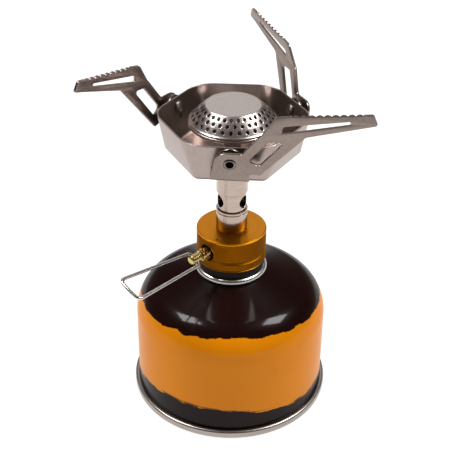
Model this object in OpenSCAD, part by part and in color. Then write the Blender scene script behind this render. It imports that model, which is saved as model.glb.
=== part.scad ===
// Folding canister stove standing on its screw-threaded gas canister.
// Millimetres, +Z up, origin on the ground at the centre of the canister's bottom rim.

/* [Canister] */
// Outer radius of the canister's straight wall
can_r = 43.4; // [36:0.1:53]
// How far the bottom seam stands out past the wall
seam_out = 2.0; // [0.8:0.1:2.4]
// Height of the bottom seam
seam_h = 3.8; // [3:0.1:6]
// Height at which the straight wall ends and the shoulder starts
can_wall_top = 41; // [30:0.1:60]
// Radius of the shoulder's arc
shoulder_r = 16.5; // [12:0.1:22]
// Slope of the crown between shoulder and neck, degrees
crown_slope = 20; // [10:1:30]
// Sheet thickness of the canister
can_sheet = 0.5; // [0.3:0.05:0.7]
// Radius of the crimped curl's centre line
curl_ring_r = 14.6; // [13.6:0.1:15.2]
// Section radius of the crimped curl
curl_r = 1.6; // [1.3:0.05:1.9]
// Outer radius of the threaded boss (7/16-28)
boss_r = 5.556; // [5.3:0.001:5.8]
// How far the boss stands above the top of the curl
boss_up = 4.9; // [4.2:0.1:6]

/* [Stove body] */
// Radius of the knurled valve body
body_r = 15.55; // [15.3:0.05:19]
// Height of the knurled valve body
body_h = 15.1; // [14.6:0.1:20]
// Visible height of the rubber ring under the body
ring_show = 3.6; // [2.5:0.1:4.2]
// Depth of the groove that holds the rubber ring
ring_groove = 1.0; // [0.6:0.1:1.2]
// Radius of the threaded insert's barrel
insert_r = 8; // [7:0.1:9]

/* [Control valve] */
// Azimuth of the spindle seen from above, degrees
spindle_az = 225.4; // [180:0.1:270]
// Depth of the spindle's axis under the body's top face
spindle_drop = 7.34; // [7:0.02:7.8]
// Radius of the spindle's plain shaft
shaft_r = 1.5; // [1.3:0.05:1.7]
// Radius of the spindle's cross-drilled head
head_r = 2.25; // [2:0.05:2.5]
// Distance from the body's surface to the handle's pivot
pivot_out = 6.75; // [6:0.05:9]
// Across-flats size of the packing nut
nut_af = 5.2; // [5:0.1:5.8]
// How far the packing nut stands out of the body
nut_out = 3.65; // [3:0.05:4.5]

/* [Wire handle] */
// Diameter of the wire
wire_d = 1.6; // [1.2:0.1:1.8]
// Length of the handle from pivot to end bar
handle_len = 38; // [28:0.5:48]
// Width between leg centre lines at the pivot
handle_root_w = 7.4; // [7:0.1:9]
// Width between leg centre lines at the end bar
handle_end_w = 12.4; // [9:0.1:16]
// How far the end bar bows outward at its middle
handle_bow = 0.9; // [0:0.1:2]
// Turn of the handle about the spindle in the closed position, degrees
handle_roll = 18; // [-30:1:30]
// Rise of the handle above horizontal, degrees
handle_rise = 5; // [-20:1:20]

/* [Stem] */
// Radius of the plated lower barrel
barrel_r = 6.9; // [5.7:0.05:8]
// Height of the plated lower barrel above the body
barrel_h = 8.8; // [8:0.1:12]
// Height of the lip on top of the barrel
lip_h = 1.4; // [1:0.1:2]
// Radius of the air tube
air_r = 6.27; // [6:0.01:6.6]
// Exposed height of the air tube
air_h = 8.5; // [7.5:0.1:12]
// Diameter of the three air holes
air_hole_d = 5.8; // [3:0.1:6.2]
// Radius of the burner tube
sleeve_r = 6.95; // [6.7:0.05:8]
// Height of the burner tube under the pan
sleeve_h = 18.7; // [14:0.1:26]

/* [Pan] */
// Distance from the axis to each flat at the pan's floor
pan_floor_apothem = 25.1; // [24:0.1:32]
// Height of the pan
pan_h = 17.9; // [17:0.1:24]
// Outward slope of the pan's walls, degrees
pan_slope = 13.8; // [8:0.1:16]
// Sheet thickness of the pan
pan_sheet = 0.7; // [0.5:0.05:1]
// Radius of the pan's corners at its floor
pan_corner_low = 2.5; // [2.2:0.1:6]
// Radius of the pan's corners at its rim
pan_corner_high = 14; // [6:0.5:15]
// Azimuth of the wall that carries the first pot support, degrees
first_wall_az = 268; // [240:1:300]

/* [Burner] */
// Radius of the burner cap's rim
cap_r = 18.7; // [17:0.1:19.5]
// Radius of the burner cap's flat top
cap_top_r = 11.9; // [9:0.1:12.5]
// Height of the burner cap
cap_h = 7.5; // [6:0.1:10]
// Diameter of the flame ports
port_d = 1.45; // [1:0.05:1.6]
// Extra length of the flame ports down the cap's slope
port_stretch = 0.4; // [0:0.05:0.5]
// Flame ports in each of the three rows
ports_per_row = 31; // [24:1:34]
// Depth of the burner's rim under the top of the pan
rim_below_pan_top = 2.85; // [0:0.05:4]

/* [Pot supports] */
// Plate thickness of the pot supports
plate = 1.1; // [0.8:0.05:1.35]
// Height of the pivot above the pan's floor
pivot_up = 13.6; // [12.6:0.1:14]
// Distance from the pan wall to the outer face of the leg
leg_standoff = 5; // [4.6:0.1:6]
// Length of the head along its crease
head_len = 45.1; // [38:0.1:54]
// Bend between leg and head, degrees
head_bend = 18; // [8:0.5:20]
// Rise of each pot support from level in its detent, degrees: front, left, right
support_slack = [-2, 3, -1]; // [-4:0.5:4]

/* [Hidden] */
$fn = 96;

// Clearances
press_gap = 0.05;       // pieces fixed to each other
run_gap = 0.08;         // a shaft turning or sliding in its hole
loose_gap = 0.3;        // pieces that pass without touching
eps = 0.01;             // overlap of a cut past the face it opens

// Canister levels and radii
seam_r = can_r + seam_out;
shoulder_centre_r = can_r - shoulder_r;
neck_r = curl_ring_r;
neck_fillet = 0.8;
crown_z = can_wall_top + shoulder_r * cos(crown_slope)
    + (shoulder_centre_r + shoulder_r * sin(crown_slope) - neck_r) * tan(crown_slope);
curl_z = crown_z + 1.7;
curl_top = curl_z + curl_r;
cup_floor = curl_z - 4;
boss_wall = 0.6;
boss_top = curl_top + boss_up;
boss_hole_r = 1.9;
gasket_t = 0.95;
housing_r = boss_r - boss_wall - 0.1;
housing_wall = 0.75;
housing_top = boss_top - boss_wall - gasket_t - 2 * press_gap;
housing_bottom = cup_floor - 4;
poppet_travel = 1.8;
pin_r = 0.9;
poppet_top = housing_top - 0.15 - poppet_travel + press_gap;
poppet_flange_top = poppet_top - 3;
poppet_flange_bottom = poppet_flange_top - 2;
poppet_nose_r = 2.6;

// Stove body levels
ring_gap = loose_gap;
body_z = curl_top + ring_gap + ring_show;
body_top = body_z + body_h;
ring_out_r = body_r - 0.55;
ring_in_r = curl_ring_r - 2;
groove_gap = 0.1;
insert_bottom = curl_top - 0.7;
insert_top = boss_top + 2.5;
insert_flange_r = ring_in_r - 1.5;
insert_flange_t = 1.4;
bore_r = boss_r + run_gap;
o_ring_r = 0.9;
o_ring_z = boss_top + press_gap + o_ring_r;
o_ring_mid_r = boss_r - 1.6;
gallery_r = 4;
gallery_top = insert_top + 2.1;

// Control valve, measured along the spindle from the stove's axis
spindle_z = body_top - spindle_drop;
seat_end = 1.4;
seat_r = 0.9;
chamber_r = shaft_r + 0.55;
thread_r = chamber_r - run_gap;
gland_r = shaft_r + 1.25;
gland_start = body_r - 7.1;
gland_end = body_r - 4.7;
port_start = body_r - 3.05;
port_r = nut_af / sqrt(3) + 0.9;
thread_end = gland_start - 0.5;
nut_face = body_r + nut_out;
pivot_r = body_r + pivot_out;
head_start = pivot_r - 2.1;
head_end = pivot_r + 1.9;
head_dome = 1.2;
seal_r = 0.5;
seal_pos = gland_start + 0.1 + seal_r;
jet_bore_r = 2.45;
jet_seat = body_top - 4.75;
spigot_depth = 3;
spigot_r = barrel_r - 1.1;

// Stem levels
barrel_top = body_top + barrel_h;
air_bottom = barrel_top + lip_h;
air_top = air_bottom + air_h;
socket_wall = 0.67;
barrel_wall = 1.3;
socket_r = min(air_r - socket_wall, barrel_r - barrel_wall);
socket_depth = 4.7;
tube_bore_r = socket_r - 1;
pan_z = air_top + sleeve_h;
neck_tube_r = 4.5;
neck_bore_r = 3.6;
pan_nut_af = 11.6;
pan_nut_h = 6.8;

// Pan and burner levels
pan_top = pan_z + pan_h;
pan_bend = 2.5;
rim_z = pan_top - rim_below_pan_top;
cup_rim_h = 1.65;
cup_rim_r = cap_r + 0.35;
cup_collar_z = pan_z + pan_sheet + pan_nut_h + 0.1;
neck_top = cup_collar_z + 1.9;
cap_sheet = 0.6;
cup_sheet = 0.6;

// Pot supports: x along the wall, y up its slope, z out from it, origin at the pivot
support_az = [first_wall_az, first_wall_az - 120, first_wall_az - 240];
pivot_z = pan_z + pivot_up;
shank_r = 1.95;
rivet_bore_r = 1.65;
rivet_head_r = 2.4;
rivet_head_h = 1.3;
rivet_lip_r = 2.35;
lip_recess = 0.35;
washer_gap = 0.7;
detent_drop = 3.8;
detent_hole_r = 1.3;
web_drop = 9.6;
web_half = 8;
crease = [11, 15];
crease_angle = 11.57;
bend_r = 1.6;

function pan_apothem(z) = pan_floor_apothem + (z - pan_z) * tan(pan_slope);

// Points along an arc about c, from angle a0 to a1
function arc(c, r, a0, a1, n) =
    [for (i = [0:n]) let (a = a0 + (a1 - a0) * i / n) [c[0] + r * cos(a), c[1] + r * sin(a)]];

function unit(v) = v / norm(v);

// One corner of an outline, rounded with radius r between its neighbours
function round_corner(p, c, q, r, n) =
    let (u = unit(p - c), v = unit(q - c), half = acos(u * v) / 2)
    r < 0.01 ? [c] :
    let (m = c + unit(u + v) * r / sin(half),
         a = c + u * r / tan(half),
         b = c + v * r / tan(half),
         a0 = atan2(a[1] - m[1], a[0] - m[0]),
         turn = atan2(b[1] - m[1], b[0] - m[0]) - a0,
         sweep = turn > 180 ? turn - 360 : turn < -180 ? turn + 360 : turn)
    [for (i = [0:n]) m + r * [cos(a0 + sweep * i / n), sin(a0 + sweep * i / n)]];

// A closed outline from corners given as [x, y, radius]
function rounded(c, n = 5) =
    let (k = len(c))
    [for (i = [0:k - 1])
        let (p = c[(i + k - 1) % k], m = c[i], q = c[(i + 1) % k])
        each round_corner([p[0], p[1]], [m[0], m[1]], [q[0], q[1]], m[2], n)];

// A round wire swept along a path; flat is a direction that stays square to the path
module swept_wire(path, r, flat, sides = 10) {
    k = len(path);
    tangents = [for (i = [0:k - 1])
        unit(path[min(i + 1, k - 1)] - path[max(i - 1, 0)])];
    rings = [for (i = [0:k - 1])
        let (side = unit(cross(tangents[i], flat)), up = cross(side, tangents[i]))
        for (j = [0:sides - 1])
            path[i] + r * (cos(360 * j / sides) * side + sin(360 * j / sides) * up)];
    skin = [for (i = [0:k - 2])
        for (j = [0:sides - 1])
            let (a = i * sides + j, b = i * sides + (j + 1) % sides)
            [a, b, b + sides, a + sides]];
    ends = [[for (j = [sides - 1:-1:0]) j], [for (j = [0:sides - 1]) (k - 1) * sides + j]];
    polyhedron(rings, concat(skin, ends), convexity = 6);
}

module tube(r_out, r_in, z0, z1) {
    translate([0, 0, z0])
        difference() {
            cylinder(r = r_out, h = z1 - z0);
            translate([0, 0, -eps]) cylinder(r = r_in, h = z1 - z0 + 2 * eps);
        }
}

module ring_torus(mid_r, r, z) {
    translate([0, 0, z]) rotate_extrude() translate([mid_r, 0]) circle(r = r, $fn = 40);
}

// Local z runs outward along the spindle's axis from the stove's axis
module along_spindle() {
    rotate([0, 0, spindle_az]) translate([0, 0, spindle_z]) rotate([0, 90, 0]) children();
}

// Local frame of a pot support's pivot on the outside of its pan wall
module at_wall(az) {
    rotate([0, 0, az])
        translate([pan_apothem(pivot_z), 0, pivot_z])
            rotate([0, pan_slope, 0])
                rotate([90, 0, 90])
                    children();
}

// ---------------------------------------------------------------- canister

// Drawn shell with its shoulder, crown and curled neck
module canister_shell() {
    skirt = 0.9;
    shoulder = arc([shoulder_centre_r, can_wall_top], shoulder_r, 0, 90 - crown_slope, 20);
    lining = arc([shoulder_centre_r, can_wall_top], shoulder_r - can_sheet, 90 - crown_slope, 0, 20);
    lining_neck = [neck_r - can_sheet,
        crown_z - can_sheet / cos(crown_slope) + can_sheet * tan(crown_slope)];
    outer = concat(
        [[can_r, skirt]],
        shoulder,
        round_corner(shoulder[20], [neck_r, crown_z], [neck_r, curl_z], neck_fillet, 6),
        [[neck_r, curl_z]]);
    inner = concat(
        [[neck_r - can_sheet, curl_z]],
        round_corner([lining_neck[0], curl_z], lining_neck, lining[0], neck_fillet + can_sheet, 6),
        lining,
        [[can_r - can_sheet, skirt]]);
    color("saddlebrown")
        union() {
            rotate_extrude($fn = 180) polygon(concat(outer, inner));
            ring_torus(curl_ring_r - can_sheet / 2, 0.6, curl_z);
        }
}

// Concave bottom with the rolled seam that the canister stands on
module canister_base() {
    pocket_out = can_r + press_gap;
    pocket_in = can_r - can_sheet - press_gap;
    inner_r = pocket_in - 1.1;
    floor_rise = 8;
    lift = 0.8;
    color("silver")
        rotate_extrude($fn = 180)
            polygon([
                [inner_r, 0], [seam_r, 0], [seam_r, seam_h - 0.4], [seam_r - 0.4, seam_h],
                [pocket_out, seam_h], [pocket_out, lift], [pocket_in, lift],
                [pocket_in, seam_h], [inner_r + can_sheet, seam_h],
                [inner_r - 6, floor_rise - 1.5], [inner_r - 16, floor_rise],
                [0, floor_rise + 1],
                [0, floor_rise + 1 - can_sheet], [inner_r - 16, floor_rise - can_sheet],
                [inner_r - 6.3, floor_rise - 1.5 - can_sheet], [inner_r, seam_h - can_sheet]
            ]);
}

// Stamped cup crimped over the neck; its threaded boss takes the stove
module valve_cup() {
    t = can_sheet;
    wall_r = curl_ring_r - curl_r;
    fillet = 1;
    outer = concat(
        arc([curl_ring_r, curl_z], curl_r, -60, 180, 24),
        arc([wall_r - fillet, cup_floor + fillet], fillet, 0, -90, 5),
        arc([boss_r + fillet, cup_floor + fillet], fillet, 270, 180, 5),
        [[boss_r, boss_top - 0.4], [boss_r - 0.4, boss_top], [boss_hole_r, boss_top]]);
    inner = concat(
        [[boss_hole_r, boss_top - boss_wall], [boss_r - boss_wall, boss_top - boss_wall]],
        arc([boss_r + fillet, cup_floor + fillet], fillet + boss_wall, 180, 270, 5),
        arc([wall_r - fillet, cup_floor + fillet], fillet + t, -90, 0, 5),
        arc([curl_ring_r, curl_z], curl_r - t, 180, -60, 24));
    color("gainsboro") rotate_extrude($fn = 120) polygon(concat(outer, inner));
}

// Sealing compound between the neck's curl and the cup
module cup_gasket() {
    bead_r = 0.6;
    outer_r = curl_r - can_sheet - press_gap;
    color("dimgray")
        rotate_extrude($fn = 120)
            polygon(concat(
                arc([curl_ring_r, curl_z], outer_r, 20, 140, 12),
                arc([curl_ring_r - can_sheet / 2, curl_z], bead_r + press_gap, 140, 20, 12)));
}

// Housing pressed into the boss; it guides the poppet and its spring
module valve_housing() {
    color("ivory")
        difference() {
            translate([0, 0, housing_bottom])
                cylinder(r = housing_r, h = housing_top - housing_bottom);
            translate([0, 0, housing_bottom + 0.6])
                cylinder(r = housing_r - housing_wall, h = housing_top - housing_bottom);
            translate([0, 0, housing_bottom - eps]) cylinder(r = 1, h = 1);
            for (a = [45:90:315])
                rotate([0, 0, a])
                    translate([0, -0.6, housing_bottom + 1.2])
                        cube([housing_r + 1, 1.2, 2]);
        }
}

// Rubber disc under the boss's top that the poppet closes against
module valve_gasket() {
    z0 = housing_top + press_gap;
    color("black") tube(housing_r, 1.5, z0, z0 + gasket_t);
}

// Poppet, held open by the stove's pin
module valve_poppet() {
    guide_r = housing_r - housing_wall - run_gap;
    color("goldenrod")
        difference() {
            union() {
                translate([0, 0, poppet_flange_bottom - 1.4])
                    cylinder(r = 1.9, h = 1.5);
                translate([0, 0, poppet_flange_bottom])
                    cylinder(r = guide_r, h = poppet_flange_top - poppet_flange_bottom);
                translate([0, 0, poppet_flange_top - 0.1])
                    cylinder(r = poppet_nose_r, h = poppet_top - poppet_flange_top + 0.1);
            }
            for (a = [0:90:270])
                rotate([0, 0, a])
                    translate([guide_r, 0, poppet_flange_bottom - 0.5])
                        cylinder(r = 0.8, h = 3);
        }
}

// Return spring under the poppet, drawn compressed
module valve_spring() {
    wire_r = 0.33;
    mid_r = housing_r - housing_wall - wire_r - 0.45;
    turns = 5;
    steps = 24;
    z0 = housing_bottom + 0.65 + wire_r;
    z1 = poppet_flange_bottom - press_gap - wire_r;
    dead = 0.9;
    function rise(t) = t < dead ? 0.7 * t / dead
        : t > turns - dead ? (z1 - z0) - 0.7 * (turns - t) / dead
        : 0.7 + (z1 - z0 - 1.4) * (t - dead) / (turns - 2 * dead);
    path = [for (i = [0:turns * steps])
        let (t = i / steps)
        [mid_r * cos(360 * t), mid_r * sin(360 * t), z0 + rise(t)]];
    color("gray") swept_wire(path, wire_r, [0, 0, 1], 8);
}

// ---------------------------------------------------------------- stove body

// Rubber ring that beds on the crimped curl
module support_ring() {
    color("black")
        rotate_extrude()
            polygon(rounded([
                [ring_in_r, body_z - ring_show, 0.5],
                [ring_out_r, body_z - ring_show, 0.7],
                [ring_out_r, body_z + ring_groove - groove_gap, 0.2],
                [ring_in_r, body_z + ring_groove - groove_gap, 0.2]]));
}

// Knurled and anodised valve body
module valve_body() {
    chamfer = 0.45;
    line_z = body_z + 4.4;
    line = 0.35;
    color("darkgoldenrod")
        difference() {
            rotate_extrude($fn = 120)
                polygon([
                    [0, body_z], [body_r - 0.3, body_z], [body_r, body_z + 0.3],
                    [body_r, line_z - line], [body_r - line, line_z],
                    [body_r, line_z + line], [body_r, body_top - chamfer],
                    [body_r - chamfer, body_top], [0, body_top]]);
            tube(ring_out_r + groove_gap, ring_in_r - groove_gap, body_z - 1, body_z + ring_groove);
            translate([0, 0, body_z - eps])
                cylinder(r = insert_flange_r + press_gap, h = insert_flange_t + press_gap);
            translate([0, 0, body_z - eps])
                cylinder(r = insert_r + press_gap, h = insert_top - body_z + press_gap);
            cylinder(r = gallery_r, h = gallery_top);
            cylinder(r = 0.8, h = spindle_z);
            translate([0, 0, body_top - spigot_depth])
                cylinder(r = spigot_r + press_gap, h = spigot_depth + 1);
            translate([0, 0, jet_seat]) cylinder(r = jet_bore_r, h = spigot_depth + 2);
            along_spindle() {
                translate([0, 0, -seat_r]) cylinder(r = seat_r, h = seat_end + seat_r + eps);
                translate([0, 0, seat_end]) cylinder(r = chamber_r, h = gland_start - seat_end);
                translate([0, 0, gland_start - eps])
                    cylinder(r = gland_r, h = port_start - gland_start + 2 * eps);
                translate([0, 0, port_start]) cylinder(r = port_r, h = body_r);
            }
            rotate([0, 0, spindle_az])
                translate([1.85, 0, spindle_z]) cylinder(r = 0.45, h = jet_seat - spindle_z + 1);
            rotate([0, 0, spindle_az + 16.5])
                translate([body_r - 2.4, 0, body_top - 1.6]) cylinder(r = 0.55, h = 2);
        }
}

// Threaded brass insert that screws onto the canister's boss
module thread_insert() {
    cavity_top = o_ring_z + o_ring_r + press_gap;
    color("gold")
        difference() {
            union() {
                translate([0, 0, insert_bottom]) cylinder(r = insert_r, h = insert_top - insert_bottom);
                translate([0, 0, body_z]) cylinder(r = insert_flange_r, h = insert_flange_t);
            }
            translate([0, 0, insert_bottom - eps])
                cylinder(r = bore_r, h = boss_top + press_gap - insert_bottom);
            translate([0, 0, insert_bottom]) cylinder(r = bore_r - 0.5, h = cavity_top - insert_bottom);
            cylinder(r = 2.2, h = insert_top + 1);
        }
}

// Seal that the boss's top face presses on
module insert_o_ring() {
    color("black") ring_torus(o_ring_mid_r, o_ring_r, o_ring_z);
}

// Pin that pushes the canister's poppet open
module opening_pin() {
    plate_z = insert_top + press_gap;
    tip_z = poppet_top + press_gap;
    color("gold")
        difference() {
            union() {
                translate([0, 0, tip_z]) cylinder(r = pin_r, h = plate_z - tip_z + 0.1);
                translate([0, 0, plate_z]) cylinder(r = gallery_r - press_gap, h = 0.95);
            }
            for (a = [0:90:270])
                rotate([0, 0, a]) translate([1.55, 0, plate_z - 1]) cylinder(r = 0.45, h = 3);
        }
}

// Sintered filter disc over the pin
module gas_filter() {
    z0 = insert_top + 0.95 + 2 * press_gap;
    color("peru") translate([0, 0, z0]) cylinder(r = gallery_r - press_gap, h = gallery_top - z0 - press_gap);
}

// ---------------------------------------------------------------- control valve

// Hexagon packing nut that closes the gland
module packing_nut() {
    collar = 0.5;
    waist = 1.7;
    color("khaki")
        along_spindle()
            difference() {
                union() {
                    translate([0, 0, gland_end]) cylinder(r = gland_r - press_gap, h = port_start - gland_end + 0.2);
                    translate([0, 0, port_start + 0.1])
                        cylinder(r = nut_af / sqrt(3), h = nut_face - waist - port_start - 0.1, $fn = 6);
                    translate([0, 0, nut_face - waist - eps])
                        cylinder(r = nut_af / 2 - 0.3, h = collar + 2 * eps);
                    translate([0, 0, nut_face - waist + collar])
                        cylinder(r = nut_af / 2, h = waist - collar);
                }
                translate([0, 0, gland_end - eps]) cylinder(r = shaft_r + run_gap, h = body_r);
            }
}

// Seal in the gland, carried along the shaft by the spindle
module spindle_o_ring() {
    color("black") along_spindle() ring_torus(shaft_r + press_gap + seal_r, seal_r, seal_pos);
}

// Needle spindle with its cross-drilled head
module spindle() {
    slot_w = 0.6;
    color("darkkhaki")
        along_spindle()
            difference() {
                rotate_extrude()
                    polygon(concat(
                        [[0, 0.3], [0.2, 0.3], [1, seat_end + 0.5], [shaft_r, seat_end + 1],
                         [thread_r, seat_end + 1.6], [thread_r, thread_end],
                         [shaft_r, thread_end + 0.3], [shaft_r, head_start],
                         [head_r - 0.2, head_start], [head_r, head_start + 0.2]],
                        arc([0, head_end], head_r, 0, 90, 10)
                            * [[1, 0], [0, head_dome / head_r]]
                            + [for (i = [0:10]) [0, head_end * (1 - head_dome / head_r)]]));
                translate([0, 0, pivot_r])
                    rotate([0, 0, -handle_roll])
                        rotate([90, 0, 0])
                            cylinder(r = wire_d / 2 + run_gap, h = 4 * head_r, center = true);
            }
}

// Bent wire handle; its ends turn inward into the spindle's cross hole
module wire_handle() {
    r = wire_d / 2;
    root = handle_root_w / 2;
    end = handle_end_w / 2;
    pin_end = 0.35;
    half = concat(
        round_corner([0, 0], [0, root], [handle_len, end], 1.8, 5),
        round_corner([0, root], [handle_len, end], [handle_len + handle_bow, 0], 2.2, 6));
    loop = concat(
        [[0, pin_end + 0.6]], half,
        [[handle_len + handle_bow, 0]],
        [for (i = [len(half) - 1:-1:0]) [half[i][0], -half[i][1]]],
        [[0, -pin_end - 0.6]]);
    color("lightgray")
        along_spindle()
            translate([0, 0, pivot_r])
                rotate([0, 0, -handle_roll])
                    rotate([0, -handle_rise, 0]) {
                        swept_wire([for (q = loop) [0, q[1], q[0]]], r - 0.02, [1, 0, 0]);
                        for (side = [-1, 1])
                            rotate([-90 * side, 0, 0])
                                translate([0, 0, pin_end])
                                    cylinder(r = r, h = root - pin_end - 1.9);
                    }
}

// ---------------------------------------------------------------- stem

// Gas jet screwed into the body
module gas_jet() {
    seat = body_top - spigot_depth + press_gap;
    hex_h = 3.3;
    nose = 7;
    color("gold")
        difference() {
            union() {
                translate([0, 0, jet_seat + 0.1]) cylinder(r = jet_bore_r - press_gap, h = seat - jet_seat);
                translate([0, 0, seat]) cylinder(r = 3.6, h = hex_h, $fn = 6);
                translate([0, 0, seat + hex_h]) cylinder(r1 = 2.4, r2 = 1.2, h = nose);
            }
            translate([0, 0, jet_seat]) cylinder(r = 1.1, h = seat + hex_h + nose - 1 - jet_seat);
            cylinder(r = 0.2, h = seat + hex_h + nose + 1);
        }
}

// Plated barrel screwed into the body
module stem_base() {
    bottom = body_top - spigot_depth + press_gap;
    wide = 3.9;
    color("lightsteelblue")
        difference() {
            rotate_extrude()
                polygon([
                    [0, bottom], [spigot_r, bottom], [spigot_r, body_top], [barrel_r, body_top],
                    [barrel_r, barrel_top - 0.3], [barrel_r - 0.3, barrel_top],
                    [sleeve_r, barrel_top + 0.3], [sleeve_r, air_bottom - 0.3],
                    [sleeve_r - 0.3, air_bottom], [0, air_bottom]]);
            translate([0, 0, bottom - eps]) cylinder(r = wide, h = 5);
            translate([0, 0, bottom]) cylinder(r = tube_bore_r, h = air_bottom);
            translate([0, 0, air_bottom - socket_depth - press_gap])
                cylinder(r = socket_r + press_gap, h = socket_depth + 1);
        }
}

// Air tube with three intake holes
module air_tube() {
    mid = (air_bottom + air_top) / 2;
    color("silver")
        difference() {
            union() {
                translate([0, 0, air_bottom - socket_depth])
                    cylinder(r = socket_r, h = air_h + 2 * socket_depth);
                translate([0, 0, air_bottom]) cylinder(r = air_r, h = air_h);
            }
            cylinder(r = tube_bore_r, h = air_top + 10);
            for (a = [60:120:300])
                rotate([0, 0, first_wall_az + a])
                    translate([0, 0, mid])
                        rotate([0, 90, 0]) cylinder(r = air_hole_d / 2, h = 2 * air_r);
        }
}

// Burner tube whose shoulder carries the pan
module burner_tube() {
    color("silver")
        difference() {
            rotate_extrude()
                polygon([
                    [0, air_top], [sleeve_r - 0.3, air_top], [sleeve_r, air_top + 0.3],
                    [sleeve_r, pan_z], [neck_tube_r, pan_z], [neck_tube_r, neck_top], [0, neck_top]]);
            translate([0, 0, air_top - eps]) cylinder(r = socket_r + press_gap, h = socket_depth + press_gap);
            cylinder(r = tube_bore_r, h = pan_z - 3);
            cylinder(r = neck_bore_r, h = neck_top + 1);
        }
}

// ---------------------------------------------------------------- pan

// Distance from the axis to the centres of the corner rounds, whose radius grows up the wall
function corner_centre(z) =
    pan_apothem(z) - pan_corner_low
    - (pan_corner_high - pan_corner_low) * (z - pan_z) / pan_h;

// A ring of points round the hexagon at distance ap from the axis and height z
function hex_ring(ap, z, n = 6) =
    [for (k = [0:5], i = [0:n])
        let (corner = first_wall_az + 30 + 60 * k,
             a = corner - 30 + 60 * i / n,
             r = ap - corner_centre(z),
             d = corner_centre(z) / cos(30))
        [d * cos(corner) + r * cos(a), d * sin(corner) + r * sin(a), z]];

// Drawn stainless pan that screens the flame
module pan() {
    bend_ap = pan_floor_apothem - pan_bend * (1 - sin(pan_slope)) / cos(pan_slope);
    bend_z = pan_z + pan_bend;
    bend_arc = [for (i = [0:5]) -90 + (90 - pan_slope) * i / 5];
    outer = concat(
        [for (a = bend_arc) [bend_ap + pan_bend * cos(a), bend_z + pan_bend * sin(a)]],
        [[pan_apothem(pan_top), pan_top]]);
    inner = concat(
        [[pan_apothem(pan_top) - pan_sheet / cos(pan_slope), pan_top]],
        [for (i = [5:-1:0])
            let (a = bend_arc[i], r = pan_bend - pan_sheet)
            [bend_ap + r * cos(a), bend_z + r * sin(a)]]);
    levels = concat(outer, inner);
    n = 42;
    k = len(levels);
    points = [for (lv = levels) each hex_ring(lv[0], lv[1])];
    skin = [for (i = [0:k - 2], j = [0:n - 1])
        let (a = i * n + j, b = i * n + (j + 1) % n)
        [a, b, b + n, a + n]];
    faces = concat(skin,
        [[for (j = [n - 1:-1:0]) j]],
        [[for (j = [0:n - 1]) (k - 1) * n + j]]);
    color("lightgray")
        difference() {
            polyhedron(points, [for (f = faces) [for (i = [len(f) - 1:-1:0]) f[i]]], convexity = 6);
            translate([0, 0, pan_z - 1]) cylinder(r = neck_tube_r + press_gap, h = 4);
            for (az = support_az)
                at_wall(az) {
                    translate([0, 0, -3]) cylinder(r = shank_r + press_gap, h = 5);
                    translate([0, -detent_drop, -3]) cylinder(r = detent_hole_r, h = 5);
                }
        }
}

// Nut that clamps the pan to the burner tube
module pan_nut() {
    z0 = pan_z + pan_sheet;
    color("silver")
        translate([0, 0, z0])
            difference() {
                cylinder(r = pan_nut_af / sqrt(3), h = pan_nut_h, $fn = 6);
                translate([0, 0, -1]) cylinder(r = neck_tube_r + press_gap, h = pan_nut_h + 2);
            }
}

// ---------------------------------------------------------------- burner

// Pressed cup with a rolled rim, seated on the burner tube
module burner_cup() {
    z0 = cup_collar_z;
    band = rim_z - cup_rim_h;
    collar_r = neck_tube_r + 1.5;
    color("gray")
        rotate_extrude()
            polygon(concat(
                [[neck_tube_r + press_gap, z0], [collar_r, z0], [collar_r + 0.4, z0 + 1.4],
                 [cap_r - 3, band - 0.9], [cup_rim_r - 0.4, band]],
                arc([cup_rim_r - cup_rim_h / 2, band + cup_rim_h / 2], cup_rim_h / 2, -60, 90, 8),
                [[cap_r - 1.4, rim_z], [cap_r - 1.4, band + 0.5], [cap_r - 3.2, band + 0.5 - cup_sheet],
                 [collar_r, z0 + 1.4 + cup_sheet], [neck_tube_r + press_gap, z0 + 1.4 + cup_sheet]]));
}

// Perforated disc that spreads the gas under the cap
module flame_spreader() {
    z0 = rim_z - 1.1 + press_gap;
    color("darkgray")
        translate([0, 0, z0])
            difference() {
                cylinder(r = cap_r - 1.4 - press_gap, h = 0.5);
                for (ring = [1:4])
                    for (i = [0:6 * ring - 1])
                        rotate([0, 0, 360 * i / (6 * ring)])
                            translate([3.4 * ring, 0, -1]) cylinder(r = 0.9, h = 3, $fn = 20);
            }
}

// One flame port, a short slot with round ends
module port() {
    square([port_stretch, port_d], center = true);
    for (end = [-0.5, 0.5])
        translate([end * port_stretch, 0]) circle(r = port_d / 2, $fn = 20);
}

// Perforated burner cap
module burner_cap() {
    z0 = rim_z + press_gap;
    z1 = rim_z + cap_h;
    slope = atan2(cap_h - 0.9, cap_r - 0.5 - cap_top_r);
    rows = [0.19, 0.49, 0.79];
    color("lightgray")
        difference() {
            rotate_extrude()
                polygon([
                    [0, z1], [cap_top_r - 0.3, z1], [cap_top_r, z1 - 0.15],
                    [cap_r - 0.5, z0 + 0.9], [cap_r, z0 + 0.6], [cap_r, z0], [cap_r - 1.3, z0],
                    [cap_r - 1.3, z0 + 0.7], [cap_top_r - 0.5, z1 - cap_sheet], [0, z1 - cap_sheet]]);
            for (row = [0:2])
                for (i = [0:ports_per_row - 1])
                    rotate([0, 0, 360 * (i + row / 2) / ports_per_row])
                        translate([
                            cap_top_r + (cap_r - 0.5 - cap_top_r) * rows[row], 0,
                            z1 - (cap_h - 0.9) * rows[row]])
                            rotate([0, 90 - slope, 0])
                                linear_extrude(4, center = true) port();
        }
}

// ---------------------------------------------------------------- pot supports

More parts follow.
